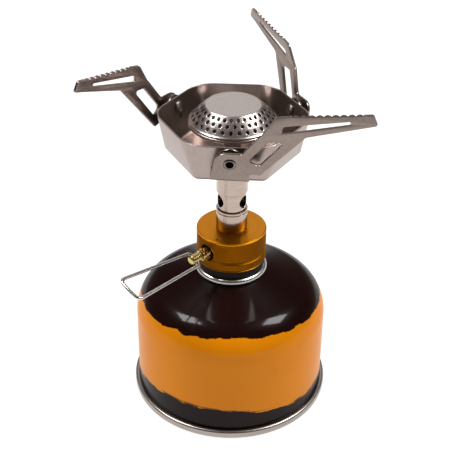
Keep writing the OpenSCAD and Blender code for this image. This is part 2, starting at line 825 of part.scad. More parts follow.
// Outline of the leg's outer plate, with the strip under the head's crease
function leg_outline() =
    let (tip = crease + head_len * [cos(crease_angle), sin(crease_angle)])
    rounded([
        [-7.8, -web_drop, 0.4],
        [-5.5, 5.3, 4.4],
        [4.6, 5.4, 1.5],
        [crease[0], crease[1], 0],
        [tip[0], tip[1], 0],
        [28.6, 16.2, 1.2],
        [12.2, -5.1, 0.5],
        [10.9, -4.9, 0.4],
        [9.4, -4.5, 0.5],
        [web_half + 0.1, -5.1, 0.4],
        [web_half + 0.3, -web_drop, 0.4]]);

// Top edge of the head: round teeth between sharp valleys
function tooth_line(x0, x1, y0, y1, count, depth) =
    [for (i = [0:count - 1], j = [0:6])
        let (t = (i + j / 6) / count, bump = sin(180 * j / 6))
        [x0 + (x1 - x0) * t, y0 + (y1 - y0) * t - depth * (1 - bump)]];

// Outline of the head above its crease, x along the crease
function head_outline() =
    let (tip = head_len, teeth_end = head_len - 5)
    concat(
        [[0, -0.2], [0, 0]],
        round_corner([0, 0], [7.4, 7.5], [13, 7.4], 3, 6),
        tooth_line(13.2, teeth_end, 7.4, 5.1, 9, 0.75),
        round_corner([teeth_end, 5.0], [tip - 1.2, 4.7], [tip, 0], 1.2, 5),
        [[tip, 0], [tip - 2.6, -0.2]]);

module pot_support(az, slack) {
    slot_low = [[7.0, 2.1, 1.6], [11.6, -0.4, 1.6], [20.8, 13.0, 1], [14.4, 12.6, 1]];
    slot_high = [[8.4, 0.5, 0.6], [34.9, 1.5, 0.45], [34.9, 2.8, 0.5], [9.4, 3.4, 1.3]];
    inner_top = 5.0;
    color("silver")
        at_wall(az)
            rotate([0, 0, slack])
                difference() {
                    union() {
                        // Leg plate
                        translate([0, 0, leg_standoff - plate])
                            linear_extrude(plate) polygon(leg_outline());
                        // Head plate, bent back about the crease
                        translate([crease[0], crease[1], leg_standoff])
                            rotate([0, 0, crease_angle])
                                rotate([-head_bend, 0, 0])
                                    translate([0, 0, -plate])
                                        linear_extrude(plate) polygon(head_outline());
                        // Web that joins the two plates under the pivot
                        translate([0, -web_drop, washer_gap])
                            rotate([90, 0, 90])
                                translate([0, 0, -7.7])
                                    linear_extrude(7.7 + web_half + 0.2)
                                        polygon(web_section());
                        // Inner plate against the pan
                        translate([0, 0, washer_gap])
                            linear_extrude(plate)
                                polygon(concat(
                                    [[-7.7, -web_drop + bend_r]],
                                    arc([0, 0], inner_top, 190, -10, 16),
                                    [[web_half + 0.2, -web_drop + bend_r]]));
                        // Detent dimple
                        translate([0, -detent_drop, washer_gap])
                            cylinder(r1 = 0.7, r2 = 1.0, h = 0.5, center = true);
                    }
                    translate([0, 0, -1]) cylinder(r = shank_r + run_gap, h = 2 * leg_standoff);
                    translate([0, 0, leg_standoff - lip_recess])
                        cylinder(r = rivet_lip_r + loose_gap, h = 1);
                    translate([0, 0, leg_standoff - 2 * plate])
                        linear_extrude(3 * plate) polygon(rounded(slot_low));
                    translate([crease[0], crease[1], leg_standoff])
                        rotate([0, 0, crease_angle])
                            rotate([-head_bend, 0, 0])
                                translate([0, 0, -2 * plate])
                                    linear_extrude(3 * plate) polygon(rounded(slot_high));
                }
}

// Section of the folded channel under the pivot, x up and y out from the pan
function web_section() =
    let (depth = leg_standoff - washer_gap, inner_r = max(0.2, bend_r - plate))
    concat(
        [[bend_r, 0]],
        arc([bend_r, bend_r], bend_r, 270, 180, 5),
        arc([bend_r, depth - bend_r], bend_r, 180, 90, 5),
        [[bend_r, depth - plate]],
        arc([bend_r, depth - bend_r], inner_r, 90, 180, 3),
        arc([bend_r, bend_r], inner_r, 180, 270, 3),
        [[bend_r, plate]]);

module pot_support_front() { pot_support(support_az[0], support_slack[0]); }
module pot_support_left() { pot_support(support_az[1], support_slack[1]); }
module pot_support_right() { pot_support(support_az[2], support_slack[2]); }

// Tubular rivet: domed head inside the pan, rolled lip in the leg's recess
module rivet(az) {
    inside = -pan_sheet - press_gap;
    lip_z = leg_standoff - lip_recess + press_gap;
    color("whitesmoke")
        at_wall(az)
            rotate_extrude($fn = 48)
                polygon(concat(
                    [[rivet_bore_r, 1], [rivet_bore_r, lip_z + 0.4]],
                    arc([(rivet_bore_r + rivet_lip_r) / 2, lip_z + 0.35],
                        (rivet_lip_r - rivet_bore_r) / 2, 180, 0, 6),
                    [[rivet_lip_r, lip_z], [shank_r, lip_z], [shank_r, inside]],
                    [for (i = [0:8])
                        let (a = 90 * i / 8)
                        [rivet_head_r * cos(a), inside - 0.3 - (rivet_head_h - 0.3) * sin(a)]],
                    [[0, 1]]));
}

module rivet_front() { rivet(support_az[0]); }
module rivet_left() { rivet(support_az[1]); }
module rivet_right() { rivet(support_az[2]); }

// Dished spring washer that keeps the support stiff on its rivet
module spring_washer(az) {
    t = 0.25;
    r_in = shank_r + 0.1;
    r_out = detent_drop - 0.8;
    color("darkgray")
        at_wall(az)
            rotate_extrude($fn = 60)
                polygon([
                    [r_in, washer_gap - press_gap - t], [r_in, washer_gap - press_gap],
                    [r_out, press_gap + t], [r_out, press_gap]]);
}

module spring_washer_front() { spring_washer(support_az[0]); }
module spring_washer_left() { spring_washer(support_az[1]); }
module spring_washer_right() { spring_washer(support_az[2]); }

canister_shell();
canister_base();
valve_cup();
cup_gasket();
valve_housing();
valve_gasket();
valve_poppet();
valve_spring();
support_ring();
valve_body();
thread_insert();
insert_o_ring();
opening_pin();
gas_filter();
packing_nut();
spindle_o_ring();
spindle();
wire_handle();
gas_jet();
stem_base();
air_tube();
burner_tube();
pan();
pan_nut();
burner_cup();
flame_spreader();
burner_cap();
pot_support_front();
pot_support_left();
pot_support_right();
rivet_front();
rivet_left();
rivet_right();
spring_washer_front();
spring_washer_left();
spring_washer_right();
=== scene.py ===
import math

import bmesh
import bpy
from mathutils import Matrix, Vector


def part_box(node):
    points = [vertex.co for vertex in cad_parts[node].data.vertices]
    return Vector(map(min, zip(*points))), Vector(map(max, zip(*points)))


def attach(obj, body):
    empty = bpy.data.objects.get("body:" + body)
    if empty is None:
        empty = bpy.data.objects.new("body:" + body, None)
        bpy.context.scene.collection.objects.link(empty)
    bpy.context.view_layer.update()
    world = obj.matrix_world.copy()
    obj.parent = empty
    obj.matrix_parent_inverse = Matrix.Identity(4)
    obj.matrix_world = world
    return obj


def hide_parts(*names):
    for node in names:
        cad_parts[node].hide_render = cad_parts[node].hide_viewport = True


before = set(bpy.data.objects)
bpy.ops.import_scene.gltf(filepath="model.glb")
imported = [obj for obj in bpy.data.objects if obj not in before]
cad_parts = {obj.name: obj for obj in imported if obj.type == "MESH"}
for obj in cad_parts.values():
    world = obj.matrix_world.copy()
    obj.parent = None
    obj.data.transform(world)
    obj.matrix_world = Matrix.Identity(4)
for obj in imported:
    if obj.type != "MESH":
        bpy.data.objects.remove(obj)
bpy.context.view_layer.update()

# ---------------------------------------------------------------- camera
# A long lens looks down on the stove from just in front of it.
# The stove stands a little left of the frame's middle.
camera_place = Vector((0, -0.396113, 0.340681))
camera_yaw, camera_pitch, camera_roll = -0.00742, 0.57219, 0.01061
camera_lens = bpy.data.cameras.new("camera")
camera_lens.lens = 84.8605
camera = bpy.data.objects.new("camera", camera_lens)
camera.matrix_world = (
    Matrix.Translation(camera_place)
    @ Matrix.Rotation(-camera_yaw, 4, "Z")
    @ Matrix.Rotation(math.pi / 2 - camera_pitch, 4, "X")
    @ Matrix.Rotation(camera_roll, 4, "Z"))
bpy.context.collection.objects.link(camera)
bpy.context.scene.camera = camera
bpy.context.scene.view_settings.view_transform = "Standard"

# ---------------------------------------------------------------- floor and light
# A softly lit white sweep in a dim room, with two soft boxes high on the left and
# right and a wide one behind that brightens what lies level.


def piece_from(name, points, faces, merge=0.0):
    """A new object from points and faces. Near points merge, and its normals face out."""
    mesh = bpy.data.meshes.new(name)
    mesh.from_pydata([tuple(p) for p in points], [], faces)
    shell = bmesh.new()
    shell.from_mesh(mesh)
    if merge:
        bmesh.ops.remove_doubles(shell, verts=shell.verts, dist=merge)
        bmesh.ops.dissolve_degenerate(shell, edges=shell.edges, dist=merge)
    bmesh.ops.recalc_face_normals(shell, faces=shell.faces)
    shell.to_mesh(mesh)
    shell.free()
    piece = bpy.data.objects.new(name, mesh)
    bpy.context.collection.objects.link(piece)
    return piece


def finish(name, base, metallic, roughness, **sockets):
    """A new material, with its node tree and its Principled shader."""
    material = bpy.data.materials.new(name)
    material.use_nodes = True
    shader = material.node_tree.nodes["Principled BSDF"]
    shader.inputs["Base Color"].default_value = (*base, 1)
    shader.inputs["Metallic"].default_value = metallic
    shader.inputs["Roughness"].default_value = roughness
    for socket, value in sockets.items():
        shader.inputs[socket.replace("_", " ")].default_value = value
    return material, material.node_tree, shader


floor_half = 4.0
floor = piece_from(
    "floor",
    [(-floor_half, -floor_half, 0), (floor_half, -floor_half, 0),
     (floor_half, floor_half, 0), (-floor_half, floor_half, 0)],
    [(0, 1, 2, 3)])
floor.data.materials.append(finish(
    "white_sweep", (0.25, 0.25, 0.25), 0, 0.9, Emission_Color=(1, 1, 1, 1), Emission_Strength=0.86,
    Specular_IOR_Level=0.1)[0])

world = bpy.data.worlds.new("dim_room")
world.use_nodes = True
world.node_tree.nodes["Background"].inputs["Color"].default_value = (0.085, 0.07, 0.062, 1)
world.node_tree.nodes["Background"].inputs["Strength"].default_value = 1.0
bpy.context.scene.world = world

stove_middle = Vector((0, 0, 0.08))
# Each box has its place, its width and its watts.
soft_boxes = {
    "left_box": ((-0.66, 0.12, 1.30), 0.42, 14),
    "right_box": ((0.74, 0.10, 1.25), 0.42, 14),
    "back_box": ((0.0, 1.35, 1.0), 1.1, 2.6),
}
for name, (place, width, watts) in soft_boxes.items():
    lamp = bpy.data.lights.new(name, "AREA")
    lamp.shape = "SQUARE"
    lamp.size = width
    lamp.energy = watts
    box = bpy.data.objects.new(name, lamp)
    box.location = place
    box.rotation_euler = (stove_middle - Vector(place)).to_track_quat("-Z", "Y").to_euler()
    bpy.context.collection.objects.link(box)

# ---------------------------------------------------------------- canister shell
# Drawn tinplate with a soft shoulder and a shallow crown, lacquered dark brown
# with a wide orange printed band that has torn edges. It is seamed to its base.
MM = 0.001


def rounded(corners, steps=6):
    """A closed outline whose corners (x, y, radius) are filleted."""
    outline = []
    for i, (x, y, radius) in enumerate(corners):
        corner = Vector((x, y))
        before = (Vector(corners[i - 1][:2]) - corner).normalized()
        after = (Vector(corners[(i + 1) % len(corners)][:2]) - corner).normalized()
        half = before.angle(after) / 2
        if radius < 1e-6 or half < 1e-3 or half > math.pi / 2 - 1e-3:
            outline.append((x, y))
            continue
        centre = corner + (before + after).normalized() * radius / math.sin(half)
        start = corner + before * radius / math.tan(half) - centre
        end = corner + after * radius / math.tan(half) - centre
        first = math.atan2(start.y, start.x)
        sweep = (math.atan2(end.y, end.x) - first + math.pi) % (2 * math.pi) - math.pi
        outline += [
            (centre.x + radius * math.cos(first + sweep * k / steps),
             centre.y + radius * math.sin(first + sweep * k / steps))
            for k in range(steps + 1)]
    return outline


def arc(x, y, radius, start, end, steps):
    """Points along an arc, its angles in degrees."""
    return [
        (x + radius * math.cos(math.radians(start + (end - start) * k / steps)),
         y + radius * math.sin(math.radians(start + (end - start) * k / steps)))
        for k in range(steps + 1)]


def shade(piece, sharp=30):
    """Smooth shading that keeps edges sharper than an angle in degrees."""
    piece.data.shade_smooth()
    piece.data.set_sharp_from_angle(angle=math.radians(sharp))
    return piece


def turned(name, section, steps=128, place=None):
    """Revolves a closed section of (radius, height), in millimetres, about the local Z axis."""
    count = len(section)
    points, faces = [], []
    for s in range(steps):
        turn = 2 * math.pi * s / steps
        points += [(r * MM * math.cos(turn), r * MM * math.sin(turn), z * MM) for r, z in section]
    for s in range(steps):
        near, far = s * count, (s + 1) % steps * count
        for i in range(count):
            j = (i + 1) % count
            if section[i][0] > 1e-6 or section[j][0] > 1e-6:
                faces.append((near + i, far + i, far + j, near + j))
    piece = piece_from(name, points, faces, merge=1e-7)
    if place is not None:
        piece.matrix_world = place
    return shade(piece)


def levels(node):
    """Lowest and highest corner of a CAD node in millimetres."""
    low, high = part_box(node)
    return Vector(low) / MM, Vector(high) / MM


can_r = levels("canister_shell")[1].x
shell_foot, wall_top = 1.0, 41.0
shoulder_r = 16.5
crown_slope = 20
can_sheet = 0.5
neck_r, neck_h = 14.6, 1.7
shoulder_x = can_r - shoulder_r
crown_z = (
    wall_top + shoulder_r * math.cos(math.radians(crown_slope))
    + (shoulder_x + shoulder_r * math.sin(math.radians(crown_slope)) - neck_r)
    * math.tan(math.radians(crown_slope)))
curl_z = crown_z + neck_h

# The shoulder runs into the crown without a visible edge.
shell_out = (
    [(can_r, shell_foot), (can_r, wall_top / 2)]
    + arc(shoulder_x, wall_top, shoulder_r, 0, 90 - crown_slope, 40))
neck_out = rounded([(*shell_out[-1], 0), (neck_r, crown_z, 0.8), (neck_r, curl_z, 0)])[1:]
neck_in = rounded([
    (neck_r - can_sheet, curl_z, 0), (neck_r - can_sheet, crown_z - 0.3, 1.2),
    (shell_out[-1][0] - 0.2, shell_out[-1][1] - can_sheet, 0)])[:-1]
shell_in = arc(shoulder_x, wall_top, shoulder_r - can_sheet, 90 - crown_slope, 0, 30) + [
    (can_r - can_sheet, shell_foot)]
canister = turned("lacquered_canister", shell_out + neck_out + neck_in + shell_in, 256)


def group_of(name, inputs, outputs):
    """A new shader node group with named inputs (name, value) and outputs."""
    tree = bpy.data.node_groups.new(name, "ShaderNodeTree")
    for label, value in inputs:
        kind = "NodeSocketVector" if value is None else "NodeSocketFloat"
        socket = tree.interface.new_socket(label, in_out="INPUT", socket_type=kind)
        if value is not None:
            socket.default_value = value
    for label in outputs:
        tree.interface.new_socket(label, in_out="OUTPUT", socket_type="NodeSocketFloat")
    return tree, tree.nodes.new("NodeGroupInput").outputs, tree.nodes.new("NodeGroupOutput").inputs


def wire(tree, kind, inputs, **settings):
    """Adds a node, sets it, and feeds its inputs from sockets or plain values."""
    node = tree.nodes.new(kind)
    for key, value in settings.items():
        setattr(node, key, value)
    for key, value in inputs.items():
        if isinstance(value, bpy.types.NodeSocket):
            tree.links.new(value, node.inputs[key])
        else:
            node.inputs[key].default_value = value
    return node


def sums(tree, operation, *values):
    """One Math node of a tree."""
    return wire(tree, "ShaderNodeMath", dict(enumerate(values)), operation=operation).outputs[0]


def place_group(tree, group, inputs):
    """Puts a node group into a material with its own values."""
    return wire(tree, "ShaderNodeGroup", inputs, node_tree=group).outputs


def bump(tree, shader, height, depth):
    """Bumps the shader's normal by a 0 to 1 height times a depth in metres."""
    node = wire(tree, "ShaderNodeBump", {"Height": height, "Distance": depth, "Strength": 1.0})
    tree.links.new(node.outputs["Normal"], shader.inputs["Normal"])


def steered(tree, shader, socket, factor, low, high):
    """Maps a 0 to 1 factor to a range of one shader socket."""
    node = wire(tree, "ShaderNodeMapRange", {"Value": factor, "To Min": low, "To Max": high})
    tree.links.new(node.outputs["Result"], shader.inputs[socket])


def blended(tree, factor, dark, light):
    """Blends two colours by a 0 to 1 factor."""
    node = wire(tree, "ShaderNodeMix", {"Factor": factor}, data_type="RGBA")
    node.inputs["A"].default_value = (*dark, 1)
    node.inputs["B"].default_value = (*light, 1)
    return node.outputs["Result"]


def toned(tree, shader, factor, dark, light):
    """Feeds a blend of two colours to the shader's base colour."""
    tree.links.new(blended(tree, factor, dark, light), shader.inputs["Base Color"])


# Handling: soft smudges and a few hair-fine scratches, shared by every finish.
handling, given, result = group_of(
    "handling", [("Where", None), ("Smudge Scale", 60), ("Scratch Scale", 200)],
    ["Smudge", "Scratch"])
smudge = wire(handling, "ShaderNodeTexNoise", {
    "Vector": given["Where"], "Scale": given["Smudge Scale"], "Detail": 4.0, "Roughness": 0.6})
handling.links.new(smudge.outputs["Fac"], result["Smudge"])
stretched = wire(handling, "ShaderNodeMapping", {
    "Vector": given["Where"], "Rotation": (0.5, 0.9, 0.3), "Scale": (1, 0.06, 0.35)})
hair = wire(handling, "ShaderNodeTexNoise", {
    "Vector": stretched.outputs[0], "Scale": given["Scratch Scale"], "Detail": 2.0})
thin = wire(handling, "ShaderNodeMapRange", {
    "Value": hair.outputs["Fac"], "From Min": 0.66, "From Max": 0.70})
handling.links.new(thin.outputs["Result"], result["Scratch"])

# Torn edge: 0 below and 1 above a ragged line at a height that sways round the can.
torn_edge, given, result = group_of(
    "torn_edge",
    [("Where", None), ("Level", 0.05), ("Sway", 0.0), ("Sway Turn", 0.0), ("Ragged", 0.001)],
    ["Above", "Rise"])
wave_scale, fray_scale, tear_step = 4.2, 26.0, 0.09
tear_share, wave_share = 2.2, 1.6
print_blur = 0.00009
axes = wire(torn_edge, "ShaderNodeSeparateXYZ", {"Vector": given["Where"]}).outputs
turn = sums(torn_edge, "ARCTAN2", axes["Y"], axes["X"])
sway = sums(torn_edge, "COSINE", sums(
    torn_edge, "MULTIPLY", sums(torn_edge, "SUBTRACT", turn, given["Sway Turn"]), 2.0))
round_can = wire(torn_edge, "ShaderNodeCombineXYZ", {
    "X": sums(torn_edge, "COSINE", turn), "Y": sums(torn_edge, "SINE", turn),
    "Z": given["Level"]}).outputs[0]
waves = wire(torn_edge, "ShaderNodeTexNoise", {
    "Vector": round_can, "Scale": wave_scale, "Detail": 1.0}).outputs["Fac"]
tears = sums(torn_edge, "SNAP", waves, tear_step)
frays = wire(torn_edge, "ShaderNodeTexNoise", {
    "Vector": round_can, "Scale": fray_scale, "Detail": 5.0, "Roughness": 0.6}).outputs["Fac"]
ragged = sums(torn_edge, "SUBTRACT", sums(
    torn_edge, "ADD", sums(torn_edge, "MULTIPLY", tears, tear_share),
    sums(torn_edge, "ADD", sums(torn_edge, "MULTIPLY", waves, wave_share), frays)),
    (tear_share + wave_share + 1) / 2)
line = sums(torn_edge, "ADD", given["Level"], sums(
    torn_edge, "ADD", sums(torn_edge, "MULTIPLY", sway, given["Sway"]),
    sums(torn_edge, "MULTIPLY", ragged, given["Ragged"])))
above = sums(torn_edge, "SUBTRACT", axes["Z"], line)
torn_edge.links.new(above, result["Rise"])
torn_edge.links.new(wire(torn_edge, "ShaderNodeMapRange", {
    "Value": above, "From Min": -print_blur, "From Max": print_blur}).outputs["Result"],
    result["Above"])

lacquer, tree, shader = finish(
    "canister_lacquer", (0.03, 0.013, 0.012), 0.0, 0.3,
    Specular_IOR_Level=0.03, Coat_Weight=0.22, Coat_Roughness=0.10)
where = wire(tree, "ShaderNodeTexCoord", {}).outputs["Object"]
low_edge = place_group(tree, torn_edge, {
    "Where": where, "Level": 0.0122, "Sway": 0.0030, "Sway Turn": math.radians(250),
    "Ragged": 0.0011})
high_edge = place_group(tree, torn_edge, {
    "Where": where, "Level": 0.0508, "Sway": 0.0015, "Sway Turn": math.radians(272),
    "Ragged": 0.0010})
band = sums(tree, "MULTIPLY", low_edge["Above"], sums(tree, "SUBTRACT", 1.0, high_edge["Above"]))
# Dry brush strokes let the dark ground through along the band's lower edge.
stroke_strength = 0.75
streak_lay = wire(tree, "ShaderNodeMapping", {"Vector": where, "Scale": (0.5, 0.5, 9.0)})
streaks = wire(tree, "ShaderNodeTexNoise", {
    "Vector": streak_lay.outputs[0], "Scale": 90.0, "Detail": 5.0, "Roughness": 0.7})
near_edge = wire(tree, "ShaderNodeMapRange", {
    "Value": low_edge["Rise"], "From Min": 0.0, "From Max": 0.0022, "To Min": 0.62, "To Max": 0.30})
stroke = wire(tree, "ShaderNodeMapRange", {
    "Value": sums(tree, "SUBTRACT", near_edge.outputs["Result"], streaks.outputs["Fac"]),
    "From Min": 0.0, "From Max": 0.08})
ink = sums(tree, "MULTIPLY", band, sums(
    tree, "SUBTRACT", 1.0, sums(tree, "MULTIPLY", stroke.outputs["Result"], stroke_strength)))
wear = place_group(tree, handling, {"Where": where, "Smudge Scale": 45.0, "Scratch Scale": 260.0})
brown = blended(tree, wear["Smudge"], (0.007, 0.0012, 0.0012), (0.016, 0.0048, 0.0042))
orange = blended(tree, wear["Smudge"], (0.76, 0.225, 0.001), (0.86, 0.285, 0.003))
print_mix = wire(tree, "ShaderNodeMix", {"Factor": ink}, data_type="RGBA")
tree.links.new(brown, print_mix.inputs["A"])
tree.links.new(orange, print_mix.inputs["B"])
tree.links.new(print_mix.outputs["Result"], shader.inputs["Base Color"])
steered(tree, shader, "Roughness", wear["Smudge"], 0.2, 0.42)
orange_peel = wire(tree, "ShaderNodeTexNoise", {"Vector": where, "Scale": 700.0, "Detail": 1.0})
bump(tree, shader, sums(
    tree, "SUBTRACT", sums(tree, "MULTIPLY", orange_peel.outputs["Fac"], 0.25),
    sums(tree, "MULTIPLY", wear["Scratch"], 0.6)), 0.00001)
canister.data.materials.append(lacquer)
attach(canister, "canister")
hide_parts("canister_shell")

# ---------------------------------------------------------------- canister base and seam
# Concave tinplate bottom. Its rim is rolled round the shell's edge into the
# bright double seam that the canister stands on.
seam_r = levels("canister_base")[1].x
seam_h, seam_gap, seam_slot = 3.8, 0.02, 0.8
seam_inner = can_r - 1.65
dish_top, dish_edge, dish_sheet = 9.0, 8.0, 0.5
base_section = rounded([
    (seam_inner, 0.0, 0.7), (seam_r, 0.0, 0.9), (seam_r, seam_h - 0.1, 1.0),
    (can_r + seam_gap, seam_h - 0.1, 0.25), (can_r + seam_gap, seam_slot, 0.1),
    (can_r - can_sheet - seam_gap, seam_slot, 0.1), (can_r - can_sheet - seam_gap, seam_h, 0.3),
    (seam_inner + 0.6, seam_h, 0.5), (seam_inner - 6, 6.6, 4.0),
    (seam_inner - 16, dish_edge, 12.0), (0.0, dish_top, 0), (0.0, dish_top - dish_sheet, 0),
    (seam_inner - 16, dish_edge - dish_sheet, 12.0), (seam_inner - 6.3, 6.1, 4.5),
    (seam_inner, seam_h - 0.5, 0.8)], 8)
base = turned("seamed_base", base_section, 256)


def from_axis(tree, axes):
    """Distance from the Z axis."""
    flat = wire(tree, "ShaderNodeCombineXYZ", {"X": axes["X"], "Y": axes["Y"]}).outputs[0]
    return wire(tree, "ShaderNodeVectorMath", {0: flat}, operation="LENGTH").outputs["Value"]


# Rolled lines: faint lines that run round a drawn or turned piece's own axis.
rolled_lines, given, result = group_of(
    "rolled_lines", [("Where", None), ("Line Scale", 900), ("Spread", 0.5)], ["Line", "Height"])
axes = wire(rolled_lines, "ShaderNodeSeparateXYZ", {"Vector": given["Where"]}).outputs
outward = from_axis(rolled_lines, axes)
turn = sums(rolled_lines, "ARCTAN2", axes["Y"], axes["X"])
unrolled = wire(rolled_lines, "ShaderNodeCombineXYZ", {
    "X": sums(rolled_lines, "MULTIPLY", outward, given["Line Scale"]),
    "Y": sums(rolled_lines, "MULTIPLY", axes["Z"], given["Line Scale"]),
    "Z": sums(rolled_lines, "MULTIPLY", sums(rolled_lines, "COSINE", turn), given["Spread"])})
line_noise = wire(rolled_lines, "ShaderNodeTexNoise", {
    "Vector": unrolled.outputs[0], "Scale": 1.0, "Detail": 4.0, "Roughness": 0.65}).outputs["Fac"]
rolled_lines.links.new(line_noise, result["Height"])
rolled_lines.links.new(wire(rolled_lines, "ShaderNodeMapRange", {
    "Value": line_noise, "From Min": 0.3, "From Max": 0.7}).outputs["Result"], result["Line"])


def ringed_metal(name, dark, light, smooth, rough, line_scale=900.0, depth=0.000006):
    """Metal with turning or rolling lines round its own axis, smudges and scratches."""
    material, tree, shader = finish(name, light, 1.0, rough)
    where = wire(tree, "ShaderNodeTexCoord", {}).outputs["Object"]
    lines = place_group(tree, rolled_lines, {
        "Where": where, "Line Scale": line_scale, "Spread": 0.8})
    wear = place_group(tree, handling, {
        "Where": where, "Smudge Scale": 90.0, "Scratch Scale": 320.0})
    both = sums(tree, "MULTIPLY", sums(tree, "ADD", lines["Line"], wear["Smudge"]), 0.5)
    toned(tree, shader, both, dark, light)
    steered(tree, shader, "Roughness", both, smooth, rough)
    bump(tree, shader, sums(tree, "SUBTRACT", lines["Height"], sums(
        tree, "MULTIPLY", wear["Scratch"], 0.5)), depth)
    return material


tinplate = ringed_metal(
    "tinplate", (0.30, 0.26, 0.235), (0.47, 0.42, 0.385), 0.22, 0.42)
base.data.materials.append(tinplate)
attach(base, "canister")
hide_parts("canister_base")

# ---------------------------------------------------------------- canister valve
# A stamped tinplate cup is crimped over the neck in a bright curl. Its threaded
# boss holds a nylon housing with a rubber seal, a brass poppet and a spring.
curl_ring_r, curl_r = 14.6, 1.6
cup_floor = curl_z - 4
boss_r, boss_wall, pin_hole = 5.556, 0.6, 1.9
boss_top = levels("valve_cup")[1].z
cup_wall, cup_bend = curl_ring_r - curl_r, 1
thread_pitch, thread_depth = 0.907, 0.42
thread_low, thread_high = cup_floor + 2.2, boss_top - 0.5
steps_a_turn = 8


def thread_ridge(z):
    """How far the boss's rolled thread lies inside its crest at a height."""
    phase = (z - thread_low) / thread_pitch % 1
    return thread_depth * (1 - abs(1 - 2 * phase)) if thread_low < z < thread_high else 0


cup_out = (
    arc(curl_ring_r, curl_z, curl_r, -60, 180, 40)
    + arc(cup_wall - cup_bend, cup_floor + cup_bend, cup_bend, 0, -90, 8)
    + arc(boss_r + cup_bend, cup_floor + cup_bend, cup_bend, 270, 180, 8)
    + [(boss_r - thread_ridge(z), z) for z in [
        thread_low + thread_pitch * k / steps_a_turn
        for k in range(int((thread_high - thread_low) / thread_pitch * steps_a_turn))]]
    + arc(boss_r - 0.4, boss_top - 0.4, 0.4, 0, 90, 5)
    + [(pin_hole, boss_top)])
cup_in = (
    [(pin_hole, boss_top - boss_wall), (boss_r - boss_wall, boss_top - boss_wall)]
    + arc(boss_r + cup_bend, cup_floor + cup_bend, cup_bend + boss_wall, 180, 270, 8)
    + arc(cup_wall - cup_bend, cup_floor + cup_bend, cup_bend + can_sheet, -90, 0, 8)
    + arc(curl_ring_r, curl_z, curl_r - can_sheet, 180, -60, 40))
cup = turned("crimped_valve_cup", cup_out + cup_in, 192)
cup.data.materials.append(ringed_metal(
    "bright_crimp", (0.55, 0.53, 0.50), (0.74, 0.72, 0.69), 0.22, 0.34, 700.0, 0.000003))
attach(cup, "canister")
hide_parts("valve_cup")


def carried(node, material, width=0.0, sharp=35):
    """Keeps a CAD node, with smooth faces, an eased edge and its finish."""
    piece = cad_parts[node]
    piece.data.materials.clear()
    piece.data.materials.append(material)
    if width:
        ease = piece.modifiers.new("eased_edges", "BEVEL")
        ease.width = width * MM
        ease.segments = 2
        ease.limit_method = "ANGLE"
        ease.angle_limit = math.radians(sharp)
        ease.use_clamp_overlap = True
    shade(piece, sharp)


def speckled(name, dark, light, roughness, scale, depth, metallic=0.0, **sockets):
    """A moulded, pressed or sintered finish: one fine all-over speckle."""
    material, tree, shader = finish(name, light, metallic, roughness, **sockets)
    where = wire(tree, "ShaderNodeTexCoord", {}).outputs["Object"]
    grain = wire(tree, "ShaderNodeTexNoise", {
        "Vector": where, "Scale": scale, "Detail": 3.0, "Roughness": 0.7}).outputs["Fac"]
    wear = place_group(tree, handling, {
        "Where": where, "Smudge Scale": 120.0, "Scratch Scale": 400.0})
    toned(tree, shader, sums(tree, "MULTIPLY", sums(tree, "ADD", grain, wear["Smudge"]), 0.5),
          dark, light)
    steered(tree, shader, "Roughness", wear["Smudge"], roughness - 0.1, roughness + 0.1)
    bump(tree, shader, grain, depth)
    return material


rubber = speckled(
    "moulded_rubber", (0.006, 0.006, 0.006), (0.02, 0.019, 0.018), 0.55, 2600, 0.00003,
    Specular_IOR_Level=0.15)
nylon = speckled("moulded_nylon", (0.66, 0.63, 0.55), (0.78, 0.75, 0.68), 0.45, 1500, 0.00001)
brass = ringed_metal(
    "turned_brass", (0.42, 0.29, 0.09), (0.80, 0.62, 0.27), 0.16, 0.36, 2600.0, 0.000012)
spring_steel = ringed_metal(
    "spring_steel", (0.32, 0.31, 0.30), (0.55, 0.54, 0.52), 0.2, 0.4, 1500.0, 0.000004)
carried("cup_gasket", rubber)
carried("valve_housing", nylon)
carried("valve_gasket", rubber)
carried("valve_poppet", brass)
carried("valve_spring", spring_steel)

# ---------------------------------------------------------------- support ring
# A moulded black rubber ring in a groove under the stove's body. It beds on
# the canister's curl and steadies the stove.
ring_low, ring_high = levels("support_ring")
ring_out = ring_high.x
ring_in = curl_ring_r - 2
ring_step, ring_step_h = 0.15, 1.2
ring = turned("support_ring_rubber", rounded([
    (ring_in, ring_low.z, 0.6), (ring_out, ring_low.z, 0.9),
    (ring_out, ring_high.z - 1.4, 0.3), (ring_out - ring_step, ring_high.z - ring_step_h, 0.2),
    (ring_out - ring_step, ring_high.z, 0.15), (ring_in, ring_high.z, 0.2)], 7), 192)
ring.data.materials.append(rubber)
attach(ring, "ring")
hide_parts("support_ring")

# ---------------------------------------------------------------- valve body
# Turned aluminium, diamond-knurled in two bands with a plain groove between
# them, then anodised gold. Brass insert, pin and filter are pressed in below.
body_low, body_high = levels("valve_body")
body_r = body_high.x
body_z, body_top = body_low.z, body_high.z
spindle_turn = math.radians(225.4)
spindle_z = body_top - 7.34
insert_top = levels("thread_insert")[1].z
jet_seat = body_top - 4.75
insert_bore, insert_flange, insert_deep = 8.05, 11.15, 1.45
seat_in, seat_out, seat_deep = 12.45, 15.1, 1.0
stem_bore, stem_deep = 5.85, 3
jet_bore, gas_way, filter_bore, filter_deep = 2.45, 0.8, 4.0, 2.1
groove_z, groove_half, groove_deep = body_z + 4.4, 0.36, 0.32
knurls_round, knurl_depth, knurl_rise, knurl_flat = 96, 0.30, 0.84, 0.24
plain_from = body_top - 0.92


def joined_rings(a, b, count):
    """Faces between two rings of points that start at a and b."""
    return [(a + k, a + (k + 1) % count, b + (k + 1) % count, b + k) for k in range(count)]


